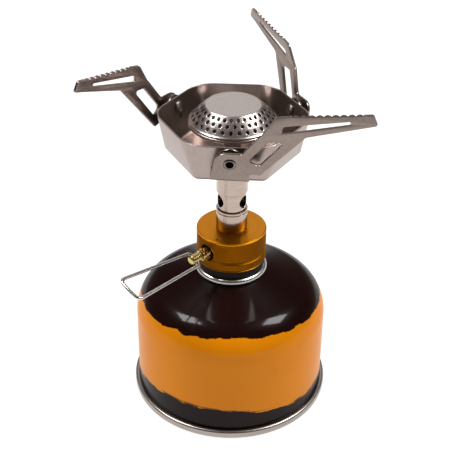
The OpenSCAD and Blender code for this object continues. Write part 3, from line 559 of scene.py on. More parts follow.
def stacked_rings(start, rings, count):
    """Faces of a stack of rings, each joined to the next."""
    return [
        face for i in range(rings - 1)
        for face in joined_rings(start + i * count, start + (i + 1) * count, count)]


def knurled_body():
    """The body's skin: rings from bottom to top, with rows of flat-topped diamonds."""
    points, faces = [], []
    full, half_pitch = 2 * knurls_round, math.pi / knurls_round

    def add_ring(r, z):
        """Adds a ring of points and tells where it starts."""
        start = len(points)
        points.extend(
            (r * MM * math.cos(half_pitch * k), r * MM * math.sin(half_pitch * k), z * MM)
            for k in range(full))
        return start

    def diamonds(low, high):
        """One knurled band. Every other point of a row is the middle of a diamond."""
        rows = max(2, round((high - low) / knurl_rise))
        valley = body_r - knurl_depth
        heights = [low + (high - low) * row / rows for row in range(rows + 1)]
        rings = [add_ring(valley, z) for z in heights]
        for row, z in enumerate(heights):
            for k in range(full):
                if (k + row) % 2 == 0:
                    continue
                left, right = rings[row] + (k - 1) % full, rings[row] + (k + 1) % full
                above = rings[row + 1] + k if row < rows else None
                below = rings[row - 1] + k if row > 0 else None
                middle = rings[row] + k
                if above is None or below is None:
                    tip = above if below is None else below
                    faces.extend([(left, middle, tip), (middle, right, tip)])
                    continue
                start = len(points)
                rise = heights[1] - heights[0]
                for along, lift in ((-1, 0), (0, -1), (1, 0), (0, 1)):
                    turn = half_pitch * (k + along * knurl_flat)
                    points.append((
                        body_r * MM * math.cos(turn), body_r * MM * math.sin(turn),
                        (z + lift * knurl_flat * rise) * MM))
                faces.append(tuple(range(start, start + 4)))
                corners = (left, below, right, above)
                for side in range(4):
                    ahead = (side + 1) % 4
                    faces.append((
                        corners[side], corners[ahead], start + ahead, start + side))
        return rings[0], rings[-1]

    under = [
        (insert_bore, insert_top + 0.05), (insert_bore, body_z + insert_deep),
        (insert_flange, body_z + insert_deep), (insert_flange, body_z),
        (seat_in, body_z), (seat_in, body_z + seat_deep), (seat_out, body_z + seat_deep),
        (seat_out, body_z), (body_r - 0.35, body_z), (body_r - 0.12, body_z + 0.1),
        (body_r - 0.02, body_z + 0.35)]
    rings = [add_ring(*at) for at in under]
    first, last = diamonds(body_z + 0.6, groove_z - groove_half - 0.09)
    strips = list(zip(rings, rings[1:] + [first]))
    groove = [
        (body_r - 0.04, groove_z - groove_half), (body_r - groove_deep, groove_z - groove_half / 3),
        (body_r - groove_deep, groove_z + groove_half / 3), (body_r - 0.04, groove_z + groove_half)]
    groove_rings = [add_ring(*at) for at in groove]
    strips += list(zip([last] + groove_rings, groove_rings))
    first, last = diamonds(groove_z + groove_half + 0.09, plain_from - 0.03)
    strips.append((groove_rings[-1], first))
    head = [
        (body_r - 0.01, body_top - 0.85), (body_r, body_top - 0.5),
        (body_r - 0.08, body_top - 0.28), (body_r - 0.32, body_top - 0.06),
        (body_r - 0.5, body_top), (8.0, body_top), (stem_bore + 0.05, body_top),
        (stem_bore, body_top - 0.05), (stem_bore, body_top - stem_deep),
        (jet_bore, body_top - stem_deep), (jet_bore, jet_seat), (gas_way, jet_seat),
        (gas_way, insert_top + filter_deep), (filter_bore, insert_top + filter_deep),
        (filter_bore, insert_top + 0.05)]
    head_rings = [add_ring(*at) for at in head]
    strips += list(zip([last] + head_rings, head_rings))
    strips.append((head_rings[-1], rings[0]))
    for a, b in strips:
        faces.extend(joined_rings(a, b, full))
    return points, faces


def applied(piece):
    """Applies a piece's modifiers to its mesh."""
    bpy.context.view_layer.update()
    finished = piece.evaluated_get(bpy.context.evaluated_depsgraph_get())
    mesh = bpy.data.meshes.new_from_object(finished)
    piece.modifiers.clear()
    piece.data = mesh


def cut(piece, *cutters):
    """Cuts solids out of a piece and removes them."""
    for cutter in cutters:
        knife = piece.modifiers.new("cut", "BOOLEAN")
        knife.operation = "DIFFERENCE"
        knife.solver = "EXACT"
        knife.object = cutter
    applied(piece)
    for cutter in cutters:
        bpy.data.objects.remove(cutter)


along_spindle = (
    Matrix.Rotation(spindle_turn, 4, "Z") @ Matrix.Translation((0, 0, spindle_z * MM))
    @ Matrix.Rotation(math.pi / 2, 4, "Y"))
body = piece_from("knurled_valve_body", *knurled_body())
nut_flats = 5.2
nut_corner = nut_flats / math.sqrt(3)
nut_start = body_r - 3.05
port_r, port_bevel = nut_corner + 0.9, 0.25
shaft_way, gland_bore, gland_end = 2.05, 2.75, body_r - 7.1
spindle_port = turned("port", [
    (0, 1.4), (shaft_way, 1.4), (shaft_way, gland_end), (gland_bore, gland_end),
    (gland_bore, nut_start), (port_r, nut_start), (port_r, body_r - port_bevel),
    (port_r + 2 * port_bevel, body_r + port_bevel), (port_r + 2 * port_bevel, body_r + 2),
    (0, body_r + 2)], 64, place=along_spindle)
# A drilled dot lies on the top face, a little to one side of the spindle.
mark_turn, mark_r, mark_in = spindle_turn + math.radians(16.5), 0.55, body_r - 2.4
mark = turned("mark", [
    (0, -1.5), (mark_r, -1.1), (mark_r, 1), (0, 1)], 24, place=Matrix.Translation((
        mark_in * MM * math.cos(mark_turn), mark_in * MM * math.sin(mark_turn), body_top * MM)))
cut(body, spindle_port, mark)
shade(body, 12)

gold, tree, shader = finish("gold_anodised", (0.70, 0.30, 0.01), 1.0, 0.38)
where = wire(tree, "ShaderNodeTexCoord", {}).outputs["Object"]
lines = place_group(tree, rolled_lines, {"Where": where, "Line Scale": 1500.0, "Spread": 0.6})
wear = place_group(tree, handling, {"Where": where, "Smudge Scale": 110.0, "Scratch Scale": 350.0})
axes = wire(tree, "ShaderNodeSeparateXYZ", {"Vector": where}).outputs
# Painted shade: the knurl's valleys are darkened toward a near-black colour, while the crests and the
# plain top keep the gold. This is mixed with the real turning lines and smudges.
knurl_valley_shade = wire(tree, "ShaderNodeMapRange", {
    "Value": from_axis(tree, axes), "From Min": (body_r - knurl_depth) * MM, "From Max": body_r * MM})
plain_top = sums(tree, "GREATER_THAN", axes["Z"], plain_from * MM)
crest = sums(tree, "MAXIMUM", knurl_valley_shade.outputs["Result"], plain_top)
valley_shade_and_wear = sums(tree, "ADD", sums(tree, "MULTIPLY", crest, 0.7), sums(
    tree, "MULTIPLY", sums(tree, "ADD", lines["Line"], wear["Smudge"]), 0.15))
toned(tree, shader, valley_shade_and_wear, (0.055, 0.013, 0.0004), (0.83, 0.305, 0.006))
steered(tree, shader, "Roughness", wear["Smudge"], 0.24, 0.46)
bump(tree, shader, lines["Height"], 0.000008)
body.data.materials.append(gold)
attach(body, "stove")
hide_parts("valve_body")
sintered = speckled(
    "sintered_bronze", (0.25, 0.13, 0.05), (0.5, 0.32, 0.16), 0.6, 3000, 0.00008, 1.0)
carried("thread_insert", brass, 0.12)
carried("insert_o_ring", rubber)
carried("opening_pin", brass)
carried("gas_filter", sintered)

# ---------------------------------------------------------------- packing nut and spindle
# A brass hexagon nut closes the gland. The needle spindle turns in it, and its
# round head is cross-drilled for the wire handle.
nut_face = body_r + 3.65
waist_z = nut_face - 1.7
gland_r, gland_long, shaft_bore = 2.65, 1.5, 1.6


def hexagon_nut():
    """Chamfered hexagon, a waist and a round collar, bored for the shaft."""
    steps = 72
    collar_r = nut_flats / 2
    waist_r = collar_r - 0.35
    sections = [
        (nut_start - gland_long, gland_r, False), (nut_start + 0.1, gland_r, False),
        (nut_start + 0.1, nut_corner, True), (waist_z - 0.25, nut_corner, True),
        (waist_z, nut_corner - 0.3, True), (waist_z, waist_r, False),
        (waist_z + 0.45, waist_r, False), (waist_z + 0.55, collar_r - 0.02, False),
        (nut_face - 0.25, collar_r, False), (nut_face - 0.05, collar_r - 0.2, False),
        (nut_face, collar_r - 0.4, False), (nut_face, shaft_bore + 0.02, False),
        (nut_start - gland_long, shaft_bore - 0.02, False)]
    points, faces = [], []
    for z, r, six_sided in sections:
        for k in range(steps):
            turn = 2 * math.pi * k / steps
            to_flat = abs((turn + math.pi / 6) % (math.pi / 3) - math.pi / 6)
            reach = min(r, collar_r / math.cos(math.pi / 6 - to_flat)) if six_sided else r
            points.append((reach * MM * math.cos(turn), reach * MM * math.sin(turn), z * MM))
    for i in range(len(sections)):
        faces += joined_rings(i * steps, (i + 1) % len(sections) * steps, steps)
    return points, faces


nut = piece_from("packing_nut_brass", *hexagon_nut())
nut.matrix_world = along_spindle
shade(nut, 28)
nut.data.materials.append(brass)
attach(nut, "stove")
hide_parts("packing_nut")
carried("spindle_o_ring", rubber)
carried("spindle", brass, 0.08, 28)

# ---------------------------------------------------------------- wire handle
# Polished spring wire bent into a long loop. Its two ends turn inward and snap
# into the spindle's cross hole, so that it folds beside the stove.
wire_r, handle_len = 0.77, 37.98
root_half, end_half, handle_bow, pin_end = 3.7, 6.2, 0.9, 0.35
root_bend, end_bend, bow_bend = 1.8, 2.2, 30.0
pivot_out = body_r + 6.75
handle_roll, handle_droop = math.radians(-18), math.radians(-5)


def swept_wire(name, path, radius, flat, sides=16):
    """A round wire along a path in millimetres, with eased ends."""
    points, faces = [], []
    ease = [(0.0, 0.72), (0.12, 0.92), (0.3, 1.0)]
    stations = [(path[0] + (path[1] - path[0]).normalized() * a * radius, k) for a, k in ease]
    stations += [(at, 1.0) for at in path[1:-1]]
    stations += [
        (path[-1] + (path[-2] - path[-1]).normalized() * a * radius, k) for a, k in reversed(ease)]
    for i, (at, share) in enumerate(stations):
        ahead = stations[min(i + 1, len(stations) - 1)][0] - stations[max(i - 1, 0)][0]
        side = ahead.cross(flat).normalized()
        rise = side.cross(ahead).normalized()
        for k in range(sides):
            turn = 2 * math.pi * k / sides
            points.append((at + radius * share * (
                math.cos(turn) * side + math.sin(turn) * rise)) * MM)
    faces += stacked_rings(0, len(stations), sides)
    faces.append(tuple(range(sides)))
    faces.append(tuple(range((len(stations) - 1) * sides, len(stations) * sides)))
    return shade(piece_from(name, points, faces), 40)


def settled(piece):
    """Moves a piece's place into its mesh, and keeps its own frame for its finish's grain."""
    own = piece.data.attributes.new("own_place", "FLOAT_VECTOR", "POINT")
    for kept, vertex in zip(own.data, piece.data.vertices):
        kept.vector = vertex.co
    piece.data.transform(piece.matrix_world)
    piece.matrix_world = Matrix()


corners = [
    (0, root_half, root_bend), (handle_len, end_half, end_bend),
    (handle_len + handle_bow, 0, bow_bend), (handle_len, -end_half, end_bend),
    (0, -root_half, root_bend)]
bend = rounded([(0, pin_end, 0), *corners, (0, -pin_end, 0)], 10)[:-1]
loop = [Vector((0, y, x)) for x, y in bend] + [Vector((0, -pin_end, 0))]
handle = swept_wire("bent_wire_handle", loop, wire_r, Vector((1, 0, 0)))
handle.matrix_world = (
    along_spindle @ Matrix.Translation((0, 0, pivot_out * MM))
    @ Matrix.Rotation(handle_roll, 4, "Z") @ Matrix.Rotation(handle_droop, 4, "Y"))
settled(handle)
wire_steel, tree, shader = finish("drawn_wire", (0.72, 0.70, 0.67), 1.0, 0.2)
where = wire(tree, "ShaderNodeAttribute", {}, attribute_name="own_place").outputs["Vector"]
drawn = wire(tree, "ShaderNodeMapping", {"Vector": where, "Scale": (1.0, 1.0, 0.05)})
draw_lines = wire(tree, "ShaderNodeTexNoise", {
    "Vector": drawn.outputs[0], "Scale": 2500.0, "Detail": 2.0}).outputs["Fac"]
wear = place_group(tree, handling, {"Where": where, "Smudge Scale": 150.0, "Scratch Scale": 500.0})
toned(tree, shader, wear["Smudge"], (0.50, 0.48, 0.45), (0.82, 0.80, 0.77))
steered(tree, shader, "Roughness", wear["Smudge"], 0.12, 0.3)
bump(tree, shader, draw_lines, 0.000004)
handle.data.materials.append(wire_steel)
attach(handle, "handle")
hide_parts("wire_handle")

# ---------------------------------------------------------------- stem
# A nickel-plated barrel screwed into the body, an air tube with three intake
# holes, and the plain burner tube that carries the pan.
barrel_low, barrel_high = levels("stem_base")
air_bottom = barrel_high.z
air_top = levels("burner_tube")[0].z
pan_z = levels("pan")[0].z
first_wall = 268
barrel_r, sleeve_r, air_r, bore_r = 6.9, 6.95, 6.27, 4.6
socket_r, socket_deep, spigot_r, spigot_long, seam = 5.65, 4.75, 5.6, 4.7, 0.02
barrel_foot, foot_bore, foot_wall = 5.8, 3.9, 5
barrel_top, line_deep = air_bottom - 1.4, 0.35
barrel = turned("plated_barrel", rounded([
    (foot_bore, barrel_low.z, 0.1), (barrel_foot, barrel_low.z, 0.2),
    (barrel_foot, body_top + seam, 0), (barrel_r, body_top + seam, 0.15),
    (barrel_r, barrel_top - 0.15, 0.2), (barrel_r - line_deep, barrel_top, 0.1),
    (barrel_r - line_deep, barrel_top + 0.15, 0.1), (sleeve_r, barrel_top + 0.3, 0.2),
    (sleeve_r, air_bottom, 0.3), (socket_r, air_bottom, 0.05),
    (socket_r, air_bottom - socket_deep, 0), (bore_r, air_bottom - socket_deep, 0),
    (bore_r, barrel_low.z + foot_wall, 0), (foot_bore, barrel_low.z + foot_wall, 0)], 5), 128)
plated = ringed_metal(
    "nickel_plating", (0.38, 0.30, 0.255), (0.56, 0.455, 0.39), 0.10, 0.24, 1200.0, 0.0000012)
barrel.data.materials.append(plated)
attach(barrel, "stove")
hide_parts("stem_base")
carried("gas_jet", brass, 0.1)

air_tube = turned("air_tube_steel", rounded([
    (bore_r, air_bottom - spigot_long, 0.1), (spigot_r, air_bottom - spigot_long, 0.2),
    (spigot_r, air_bottom + seam, 0), (air_r, air_bottom + seam, 0.12),
    (air_r, air_top - seam, 0.12), (spigot_r, air_top - seam, 0),
    (spigot_r, air_top + spigot_long, 0.2), (bore_r, air_top + spigot_long, 0.1)], 4), 128)
intake_r, intake_bevel = 2.9, 0.25
cut(air_tube, *(turned("intake", [
    (0, 3), (intake_r - 0.12, 3), (intake_r - 0.12, air_r - 0.35),
    (intake_r + intake_bevel, air_r + intake_bevel), (intake_r + intake_bevel, 9), (0, 9)], 48,
    place=(
        Matrix.Rotation(math.radians(first_wall + side), 4, "Z")
        @ Matrix.Translation((0, 0, (air_bottom + air_top) / 2 * MM))
        @ Matrix.Rotation(math.pi / 2, 4, "Y"))) for side in (60, 180, 300)))
shade(air_tube, 25)
air_tube.data.materials.append(plated)
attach(air_tube, "stove")
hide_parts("air_tube")

tube_neck_r, tube_neck_bore, tube_neck_top = 4.5, 3.6, levels("burner_tube")[1].z
tube_bore_top = pan_z - 3
sleeve = turned("burner_tube_steel", rounded([
    (socket_r, air_top, 0.05), (sleeve_r, air_top, 0.35), (sleeve_r, pan_z - seam, 0.2),
    (tube_neck_r, pan_z - seam, 0), (tube_neck_r, tube_neck_top, 0.2),
    (tube_neck_bore, tube_neck_top, 0.1), (tube_neck_bore, tube_bore_top, 0.1),
    (bore_r, tube_bore_top, 0.1), (bore_r, air_top + socket_deep, 0),
    (socket_r, air_top + socket_deep, 0)], 5), 128)
sleeve.data.materials.append(plated)
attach(sleeve, "stove")
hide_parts("burner_tube")

# ---------------------------------------------------------------- pan
# Six-sided pan drawn from stainless sheet, its corners round and its rim
# eased. A nut clamps it to the burner tube, and it screens the flame.
pan_top = levels("pan")[1].z
pan_sheet, pan_bend, corner_low, corner_high = 0.7, 2.5, 2.5, 14.0
pan_slope = math.radians(13.8)
floor_flat, tube_hole, rim_ease = 25.1, 4.55, 0.28


def pan_flat(z):
    """Distance from the axis to the outside of a wall at a height."""
    return floor_flat + (z - pan_z) * math.tan(pan_slope)


def hexagon(flat, z, steps=12):
    """The pan's outline at a height and a distance to its flats. Its corners open upward."""
    ring = []
    corner_r = corner_low + (corner_high - corner_low) * (z - pan_z) / (pan_top - pan_z)
    corner_centre = pan_flat(z) - corner_r
    for k in range(6):
        middle = math.radians(first_wall + 30 + 60 * k)
        reach = corner_centre / math.cos(math.radians(30))
        for i in range(steps + 1):
            turn = middle + math.radians(60) * (i / steps - 0.5)
            ring.append((
                reach * math.cos(middle) + (flat - corner_centre) * math.cos(turn),
                reach * math.sin(middle) + (flat - corner_centre) * math.sin(turn)))
    return ring


def drawn_pan():
    """Closed sheet: floor hole, outer wall, eased rim, inner wall and back."""
    bend_out = floor_flat - pan_bend * (1 - math.sin(pan_slope)) / math.cos(pan_slope)
    bend_in = pan_bend - pan_sheet
    top_in = pan_flat(pan_top) - pan_sheet / math.cos(pan_slope)
    rim_run = 4
    lean = math.degrees(pan_slope)
    stations = arc(bend_out, pan_z + pan_bend, pan_bend, -90, -lean, 10)
    stations += rounded([
        (*stations[-1], 0), (pan_flat(pan_top), pan_top, rim_ease), (top_in, pan_top, rim_ease),
        (top_in - rim_run * math.tan(pan_slope), pan_top - rim_run, 0)], 4)[1:-1]
    stations += arc(bend_out, pan_z + pan_bend, bend_in, -lean, -90, 8)
    points, faces = [], []
    ring = len(hexagon(floor_flat, pan_z))
    for flat, z in stations:
        points += [(x * MM, y * MM, z * MM) for x, y in hexagon(flat, z)]
    faces += stacked_rings(0, len(stations), ring)
    last = (len(stations) - 1) * ring
    # The floor's two faces run in to the hole for the burner tube.
    start = len(points)
    for z in (pan_z, pan_z + pan_sheet):
        for x, y in hexagon(bend_out, z):
            reach = tube_hole / math.hypot(x, y)
            points.append((x * reach * MM, y * reach * MM, z * MM))
    for a, b in ((0, start), (last, start + ring), (start, start + ring)):
        faces += joined_rings(a, b, ring)
    return points, faces


pivot_z = pan_z + 13.6
wall_turns = {"front": first_wall, "left": first_wall - 120, "right": first_wall - 240}


def at_wall(side):
    """Frame of a support's pivot: X along the wall, Y up it, Z out from it."""
    return (
        Matrix.Rotation(math.radians(wall_turns[side]), 4, "Z")
        @ Matrix.Translation((pan_flat(pivot_z) * MM, 0, pivot_z * MM))
        @ Matrix.Rotation(pan_slope, 4, "Y")
        @ Matrix.Rotation(math.pi / 2, 4, "Z") @ Matrix.Rotation(math.pi / 2, 4, "X"))


detent_drop, detent_r, shank_r = 3.8, 1.3, 1.95
pan = piece_from("hexagon_pan", *drawn_pan())
holes = []
for side in wall_turns:
    for drop, r in ((0, shank_r + 0.03), (detent_drop, detent_r)):
        holes.append(turned("hole", [(0, -3), (r, -3), (r, 2), (0, 2)], 40, place=(
            at_wall(side) @ Matrix.Translation((0, -drop * MM, 0)))))
cut(pan, *holes)
shade(pan, 30)

# Sheet grain: the fine lines and cloudy sheen of drawn or stamped stainless.
sheet_grain, given, result = group_of(
    "sheet_grain", [("Where", None), ("Grain Scale", 900), ("Cloud Scale", 45)],
    ["Grain", "Cloud", "Height"])
laid = wire(sheet_grain, "ShaderNodeMapping", {
    "Vector": given["Where"], "Scale": (1.0, 1.0, 0.05)})
grain = wire(sheet_grain, "ShaderNodeTexNoise", {
    "Vector": laid.outputs[0], "Scale": given["Grain Scale"], "Detail": 5.0,
    "Roughness": 0.7}).outputs["Fac"]
cloud = wire(sheet_grain, "ShaderNodeTexNoise", {
    "Vector": given["Where"], "Scale": given["Cloud Scale"], "Detail": 3.0}).outputs["Fac"]
sheet_grain.links.new(grain, result["Height"])
sheet_grain.links.new(wire(sheet_grain, "ShaderNodeMapRange", {
    "Value": grain, "From Min": 0.3, "From Max": 0.7}).outputs["Result"], result["Grain"])
sheet_grain.links.new(wire(sheet_grain, "ShaderNodeMapRange", {
    "Value": cloud, "From Min": 0.3, "From Max": 0.7}).outputs["Result"], result["Cloud"])


def sheet_metal(name, dark, light, smooth, rough, grain_scale, depth, own_frame=False):
    """Stainless sheet with its grain, clouds, smudges and scratches."""
    material, tree, shader = finish(name, light, 1.0, rough)
    where = (
        wire(tree, "ShaderNodeAttribute", {}, attribute_name="own_place").outputs["Vector"]
        if own_frame else wire(tree, "ShaderNodeTexCoord", {}).outputs["Object"])
    sheet = place_group(tree, sheet_grain, {"Where": where, "Grain Scale": grain_scale})
    wear = place_group(tree, handling, {
        "Where": where, "Smudge Scale": 70.0, "Scratch Scale": 240.0})
    toned(tree, shader, sums(tree, "MULTIPLY", sums(
        tree, "ADD", sheet["Grain"], sheet["Cloud"]), 0.5), dark, light)
    steered(tree, shader, "Roughness", sums(tree, "MULTIPLY", sums(
        tree, "ADD", sheet["Cloud"], wear["Smudge"]), 0.5), smooth, rough)
    bump(tree, shader, sums(tree, "SUBTRACT", sheet["Height"], sums(
        tree, "MULTIPLY", wear["Scratch"], 0.5)), depth)
    return material


pan_steel = sheet_metal(
    "drawn_stainless", (0.33, 0.27, 0.245), (0.43, 0.355, 0.325), 0.26, 0.38, 1100.0, 0.0000006)
pan.data.materials.append(pan_steel)
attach(pan, "stove")
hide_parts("pan")
burner_steel = ringed_metal(
    "turned_stainless", (0.33, 0.27, 0.24), (0.52, 0.44, 0.40), 0.24, 0.38, 1400.0, 0.0000015)
carried("pan_nut", burner_steel, 0.2)

# ---------------------------------------------------------------- burner
# A pressed cup on the burner tube, and over it the cap with three staggered
# rows of flame ports. Both end in a rolled rim. A spreader disc lies between.
cap_r, cap_top_r, cap_sheet = 18.7, 11.9, 0.6
port_d, port_long, ports_round = 1.45, 1.85, 31
rim_z = levels("burner_cup")[1].z
cap_top = levels("burner_cap")[1].z
cup_low = levels("burner_cup")[0].z
cup_rim_r, cup_rim_h, cup_band = cap_r + 0.35, 1.65, rim_z - 1.65
hub_r, hub_seat, hub_h, cup_bore = 6.2, 5.6, 2.0, cap_r - 1.4
cup_roll = cup_rim_h / 2
cup_bowl = turned("burner_cup_steel", (
    [(tube_hole, cup_low), (hub_seat, cup_low)]
    + rounded([(hub_seat, cup_low, 0), (hub_r, cup_low, 0.4), (6.5, cup_low + 1.4, 0.6),
               (cap_r - 3, cup_band - 0.9, 1.0), (cup_rim_r - 0.6, cup_band + 0.1, 0)], 5)[1:-1]
    + arc(cup_rim_r - cup_roll, cup_band + cup_roll, cup_roll, -60, 90, 14)
    + rounded([(cup_rim_r - cup_roll, rim_z, 0), (cup_bore, rim_z, 0.1),
               (cup_bore, cup_band + 0.5, 0.4), (cap_r - 3.2, cup_band - 0.1, 0.6),
               (hub_r, cup_low + hub_h, 0.4), (tube_hole, cup_low + hub_h, 0)], 4)[1:]), 160)
cup_bowl.data.materials.append(burner_steel)
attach(cup_bowl, "stove")
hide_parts("burner_cup")
carried("flame_spreader", burner_steel)


def perforated_cap():
    """The cap's outer skin: a disc, a cone of cells that each hold one port, and a rim."""
    points, faces = [], []
    around, port_sides = 6 * ports_round, 24
    cone_bulge, bulge_lean = 0.22, 0.7
    shares = (0.0, 0.55, 1.0)
    slope_top = Vector((cap_top_r, cap_top - 0.15))
    slope_end = Vector((cap_r - 0.5, rim_z + 0.95))
    length = (slope_end - slope_top).length
    rows, half_row = (0.19, 0.49, 0.79), 0.15

    def skin(turn, along):
        """A point of the cone at a turn and a share of its slope. The cone bulges a little."""
        at = slope_top.lerp(slope_end, along)
        bulge = cone_bulge * bulge_lean * math.sin(math.pi * along)
        r = at.x + bulge
        return (r * MM * math.cos(turn), r * MM * math.sin(turn), (at.y + bulge) * MM)

    for row, middle in enumerate(rows):
        for i in range(ports_round):
            centre = 2 * math.pi * (i + row / 2) / ports_round
            r = slope_top.lerp(slope_end, middle).x
            start = len(points)
            for share in shares:
                for k in range(port_sides):
                    turn = math.pi / 4 + 2 * math.pi * k / port_sides
                    across, down = math.cos(turn), math.sin(turn)
                    side, part = divmod(k, port_sides // 4)
                    edge = 1 - part / 3
                    square = ((edge, 1), (-1, edge), (-edge, -1), (1, -edge))[side]
                    port = (
                        port_d / 2 * across / r, port_long / 2 * down / length)
                    cell = (square[0] * math.pi / ports_round, square[1] * half_row)
                    points.append(skin(
                        centre + cell[0] * (1 - share) + port[0] * share,
                        middle + cell[1] * (1 - share) + port[1] * share))
            faces += stacked_rings(start, len(shares), port_sides)
    # The plain parts: the disc with its eased edge above the cells, the rim below.
    crown = [(r, cap_top) for r in (0.0, 5.0, 9.5, cap_top_r - 0.9)]
    crown += [(cap_top_r - 0.45, cap_top - 0.015), (cap_top_r - 0.15, cap_top - 0.07)]
    plain = [(r, z, None) for r, z in crown] + [(0, 0, 0.0), (0, 0, rows[0] - half_row)]
    brim = [(0, 0, rows[2] + half_row), (0, 0, 1.0)]
    brim += [(r, z, None) for r, z in (
        (cap_r - 0.22, rim_z + 0.78), (cap_r - 0.04, rim_z + 0.62), (cap_r, rim_z + 0.4),
        (cap_r, rim_z + 0.08))]
    for band in (plain, brim):
        start = len(points)
        for r, z, along in band:
            for k in range(around):
                turn = 2 * math.pi * (k + 3) / around
                points.append(
                    (r * MM * math.cos(turn), r * MM * math.sin(turn), z * MM)
                    if along is None else skin(turn, along))
        faces += stacked_rings(start, len(band), around)
    return points, faces


cap = piece_from("perforated_cap", *perforated_cap(), merge=1e-6)
# The skin is open below, so its normals are turned to the side that faces up.
if sum(face.normal.z * face.area for face in cap.data.polygons) < 0:
    cap.data.flip_normals()
cap_steel = ringed_metal(
    "pressed_cap_steel", (0.53, 0.465, 0.44), (0.65, 0.585, 0.56), 0.22, 0.36, 2600.0, 0.0000015)
# A dark finish for the cap's underside and port walls, and painted shade in the rivets' bores.
flame_stain_and_shade = speckled(
    "flame_stained_and_shaded_steel", (0.035, 0.028, 0.024), (0.13, 0.105, 0.09), 0.55, 1600, 0.00002, 0.9)
cap.data.materials.append(cap_steel)
cap.data.materials.append(flame_stain_and_shade)
thick = cap.modifiers.new("sheet", "SOLIDIFY")
thick.material_offset = thick.material_offset_rim = 1
thick.thickness = cap_sheet * MM
thick.offset = -1
thick.use_even_offset = True
eased = cap.modifiers.new("punched_edges", "BEVEL")
eased.width = 0.1 * MM
eased.segments = 2
eased.limit_method = "ANGLE"
eased.angle_limit = math.radians(50)
applied(cap)
shade(cap, 40)
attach(cap, "stove")
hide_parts("burner_cap")

# ---------------------------------------------------------------- pot supports
# Each is stamped from one stainless plate: a toothed head leans back from the
# leg, and the leg is folded under the pivot into a channel that clips on the pan.
plate, plate_ease, leg_standoff, washer_gap = 1.1, 0.14, 5.0, 0.7
teeth, tooth_deep = 9, 0.75
seat_hole, seat_bore, inner_hole = 2.65, 2.06, 2.05
web_drop, web_half, bend_r = 9.6, 8.0, 1.6
crease, crease_turn = Vector((11.0, 15.0)), math.radians(11.57)
head_len, head_bend, crease_r = 45.1, math.radians(18), 2.4
fold_start = -web_drop + bend_r
quarter = bend_r * math.pi / 2
channel_flat = leg_standoff - washer_gap - 2 * bend_r
fold_length = 2 * quarter + channel_flat
inner_pivot = 2 * fold_start - fold_length


def on_head(points):
    """Points of the head, x along the crease and y above it, in the plate's own flat frame."""
    along = Vector((math.cos(crease_turn), math.sin(crease_turn)))
    across = Vector((-along.y, along.x))
    return [tuple(crease + along * x + across * y) for x, y in points]


def toothed_edge(start, end, count, depth):
    """Round teeth between sharp valleys, from one point to another."""
    edge = []
    for i in range(count):
        for j in range(8):
            share = (i + j / 8) / count
            crown = math.sin(math.pi * j / 8) ** 0.8
            edge.append((
                start[0] + (end[0] - start[0]) * share,
                start[1] + (end[1] - start[1]) * share - depth * (1 - crown)))
    return edge + [(end[0], end[1] - depth)]


def stamped_blank():
    """Outline and holes of the flat blank before folding, with the rivet's hole at 0, 0."""
    teeth_end = head_len - 5
    head = rounded([(0, 0, 0), (7.4, 7.5, 3.0), (13, 7.4, 0), (0, -5, 0)], 8)[1:-1]
    head += toothed_edge((13.2, 7.4), (teeth_end, 5.1), teeth, tooth_deep)
    end = on_head([(teeth_end, 5.0), (head_len - 1.2, 4.7), (head_len, 0)])
    ear = arc(0, inner_pivot, 5.0, -190, 10, 24)
    # The lower edge runs from the blunt tip under the head, past the notch, to the web.
    lower = rounded([
        (*end[0], 0), (*end[1], 1.2), (*end[2], 0.9), (28.6, 16.2, 1.2),
        (12.2, -5.1, 0.5), (10.9, -4.9, 0.4), (9.4, -4.5, 0.5), (web_half + 0.15, -5.1, 0.4),
        (web_half + 0.2, fold_start - fold_length, 0.6), (*ear[-1], 0)], 5)
    upper = rounded([
        (*ear[0], 0), (-7.7, fold_start - fold_length, 0.6), (-7.6, fold_start, 0.5),
        (-5.5, 5.3, 4.4), (4.6, 5.4, 1.5), (crease.x, crease.y, 0.6),
        (*on_head([(2, 2)])[0], 0)], 10)
    outline = on_head(head) + lower[:-1] + ear[::-1] + upper[1:-1]
    leg_slot = rounded([
        (7.0, 2.1, 1.6), (11.6, -0.4, 1.6), (20.8, 13.0, 1.0), (14.4, 12.6, 1.0)], 8)
    head_slot = on_head(rounded([
        (8.4, 0.5, 0.6), (34.9, 1.5, 0.45), (34.9, 2.8, 0.5), (9.4, 3.4, 1.3)], 8))
    return outline, [
        leg_slot, head_slot, arc(0, 0, seat_hole, 0, 352, 44),
        arc(0, inner_pivot, inner_hole, 0, 350, 35)]


def stamped_plate(name, loops, thickness, ease):
    """A plate with rounded edges, cut by its outline and holes, its outer face at height 0."""
    curve = bpy.data.curves.new(name, "CURVE")
    curve.dimensions = "2D"
    curve.fill_mode = "BOTH"
    curve.extrude = (thickness / 2 - ease) * MM
    curve.bevel_depth = ease * MM
    curve.bevel_resolution = 1
    curve.offset = -ease * MM
    for loop in loops:
        spline = curve.splines.new("POLY")
        spline.points.add(len(loop) - 1)
        spline.use_cyclic_u = True
        for point, (x, y) in zip(spline.points, loop):
            point.co = (x * MM, y * MM, 0, 1)
    blank = bpy.data.objects.new(name, curve)
    bpy.context.collection.objects.link(blank)
    bpy.context.view_layer.update()
    mesh = bpy.data.meshes.new_from_object(
        blank.evaluated_get(bpy.context.evaluated_depsgraph_get()))
    bpy.data.objects.remove(blank)
    for vertex in mesh.vertices:
        vertex.co.z -= thickness / 2 * MM
    return mesh


def in_channel(run, depth):
    """Height and depth of a point of the foot, a run past the start of its first bend."""
    reach = bend_r + depth
    if run <= quarter:
        turn = run / bend_r
        return fold_start - reach * math.sin(turn), -bend_r + reach * math.cos(turn)
    if run <= quarter + channel_flat:
        return fold_start - reach, -bend_r - (run - quarter)
    if run <= fold_length:
        turn = (run - quarter - channel_flat) / bend_r
        return (
            fold_start - reach * math.cos(turn), -bend_r - channel_flat - reach * math.sin(turn))
    return fold_start + run - fold_length, -bend_r - channel_flat - reach


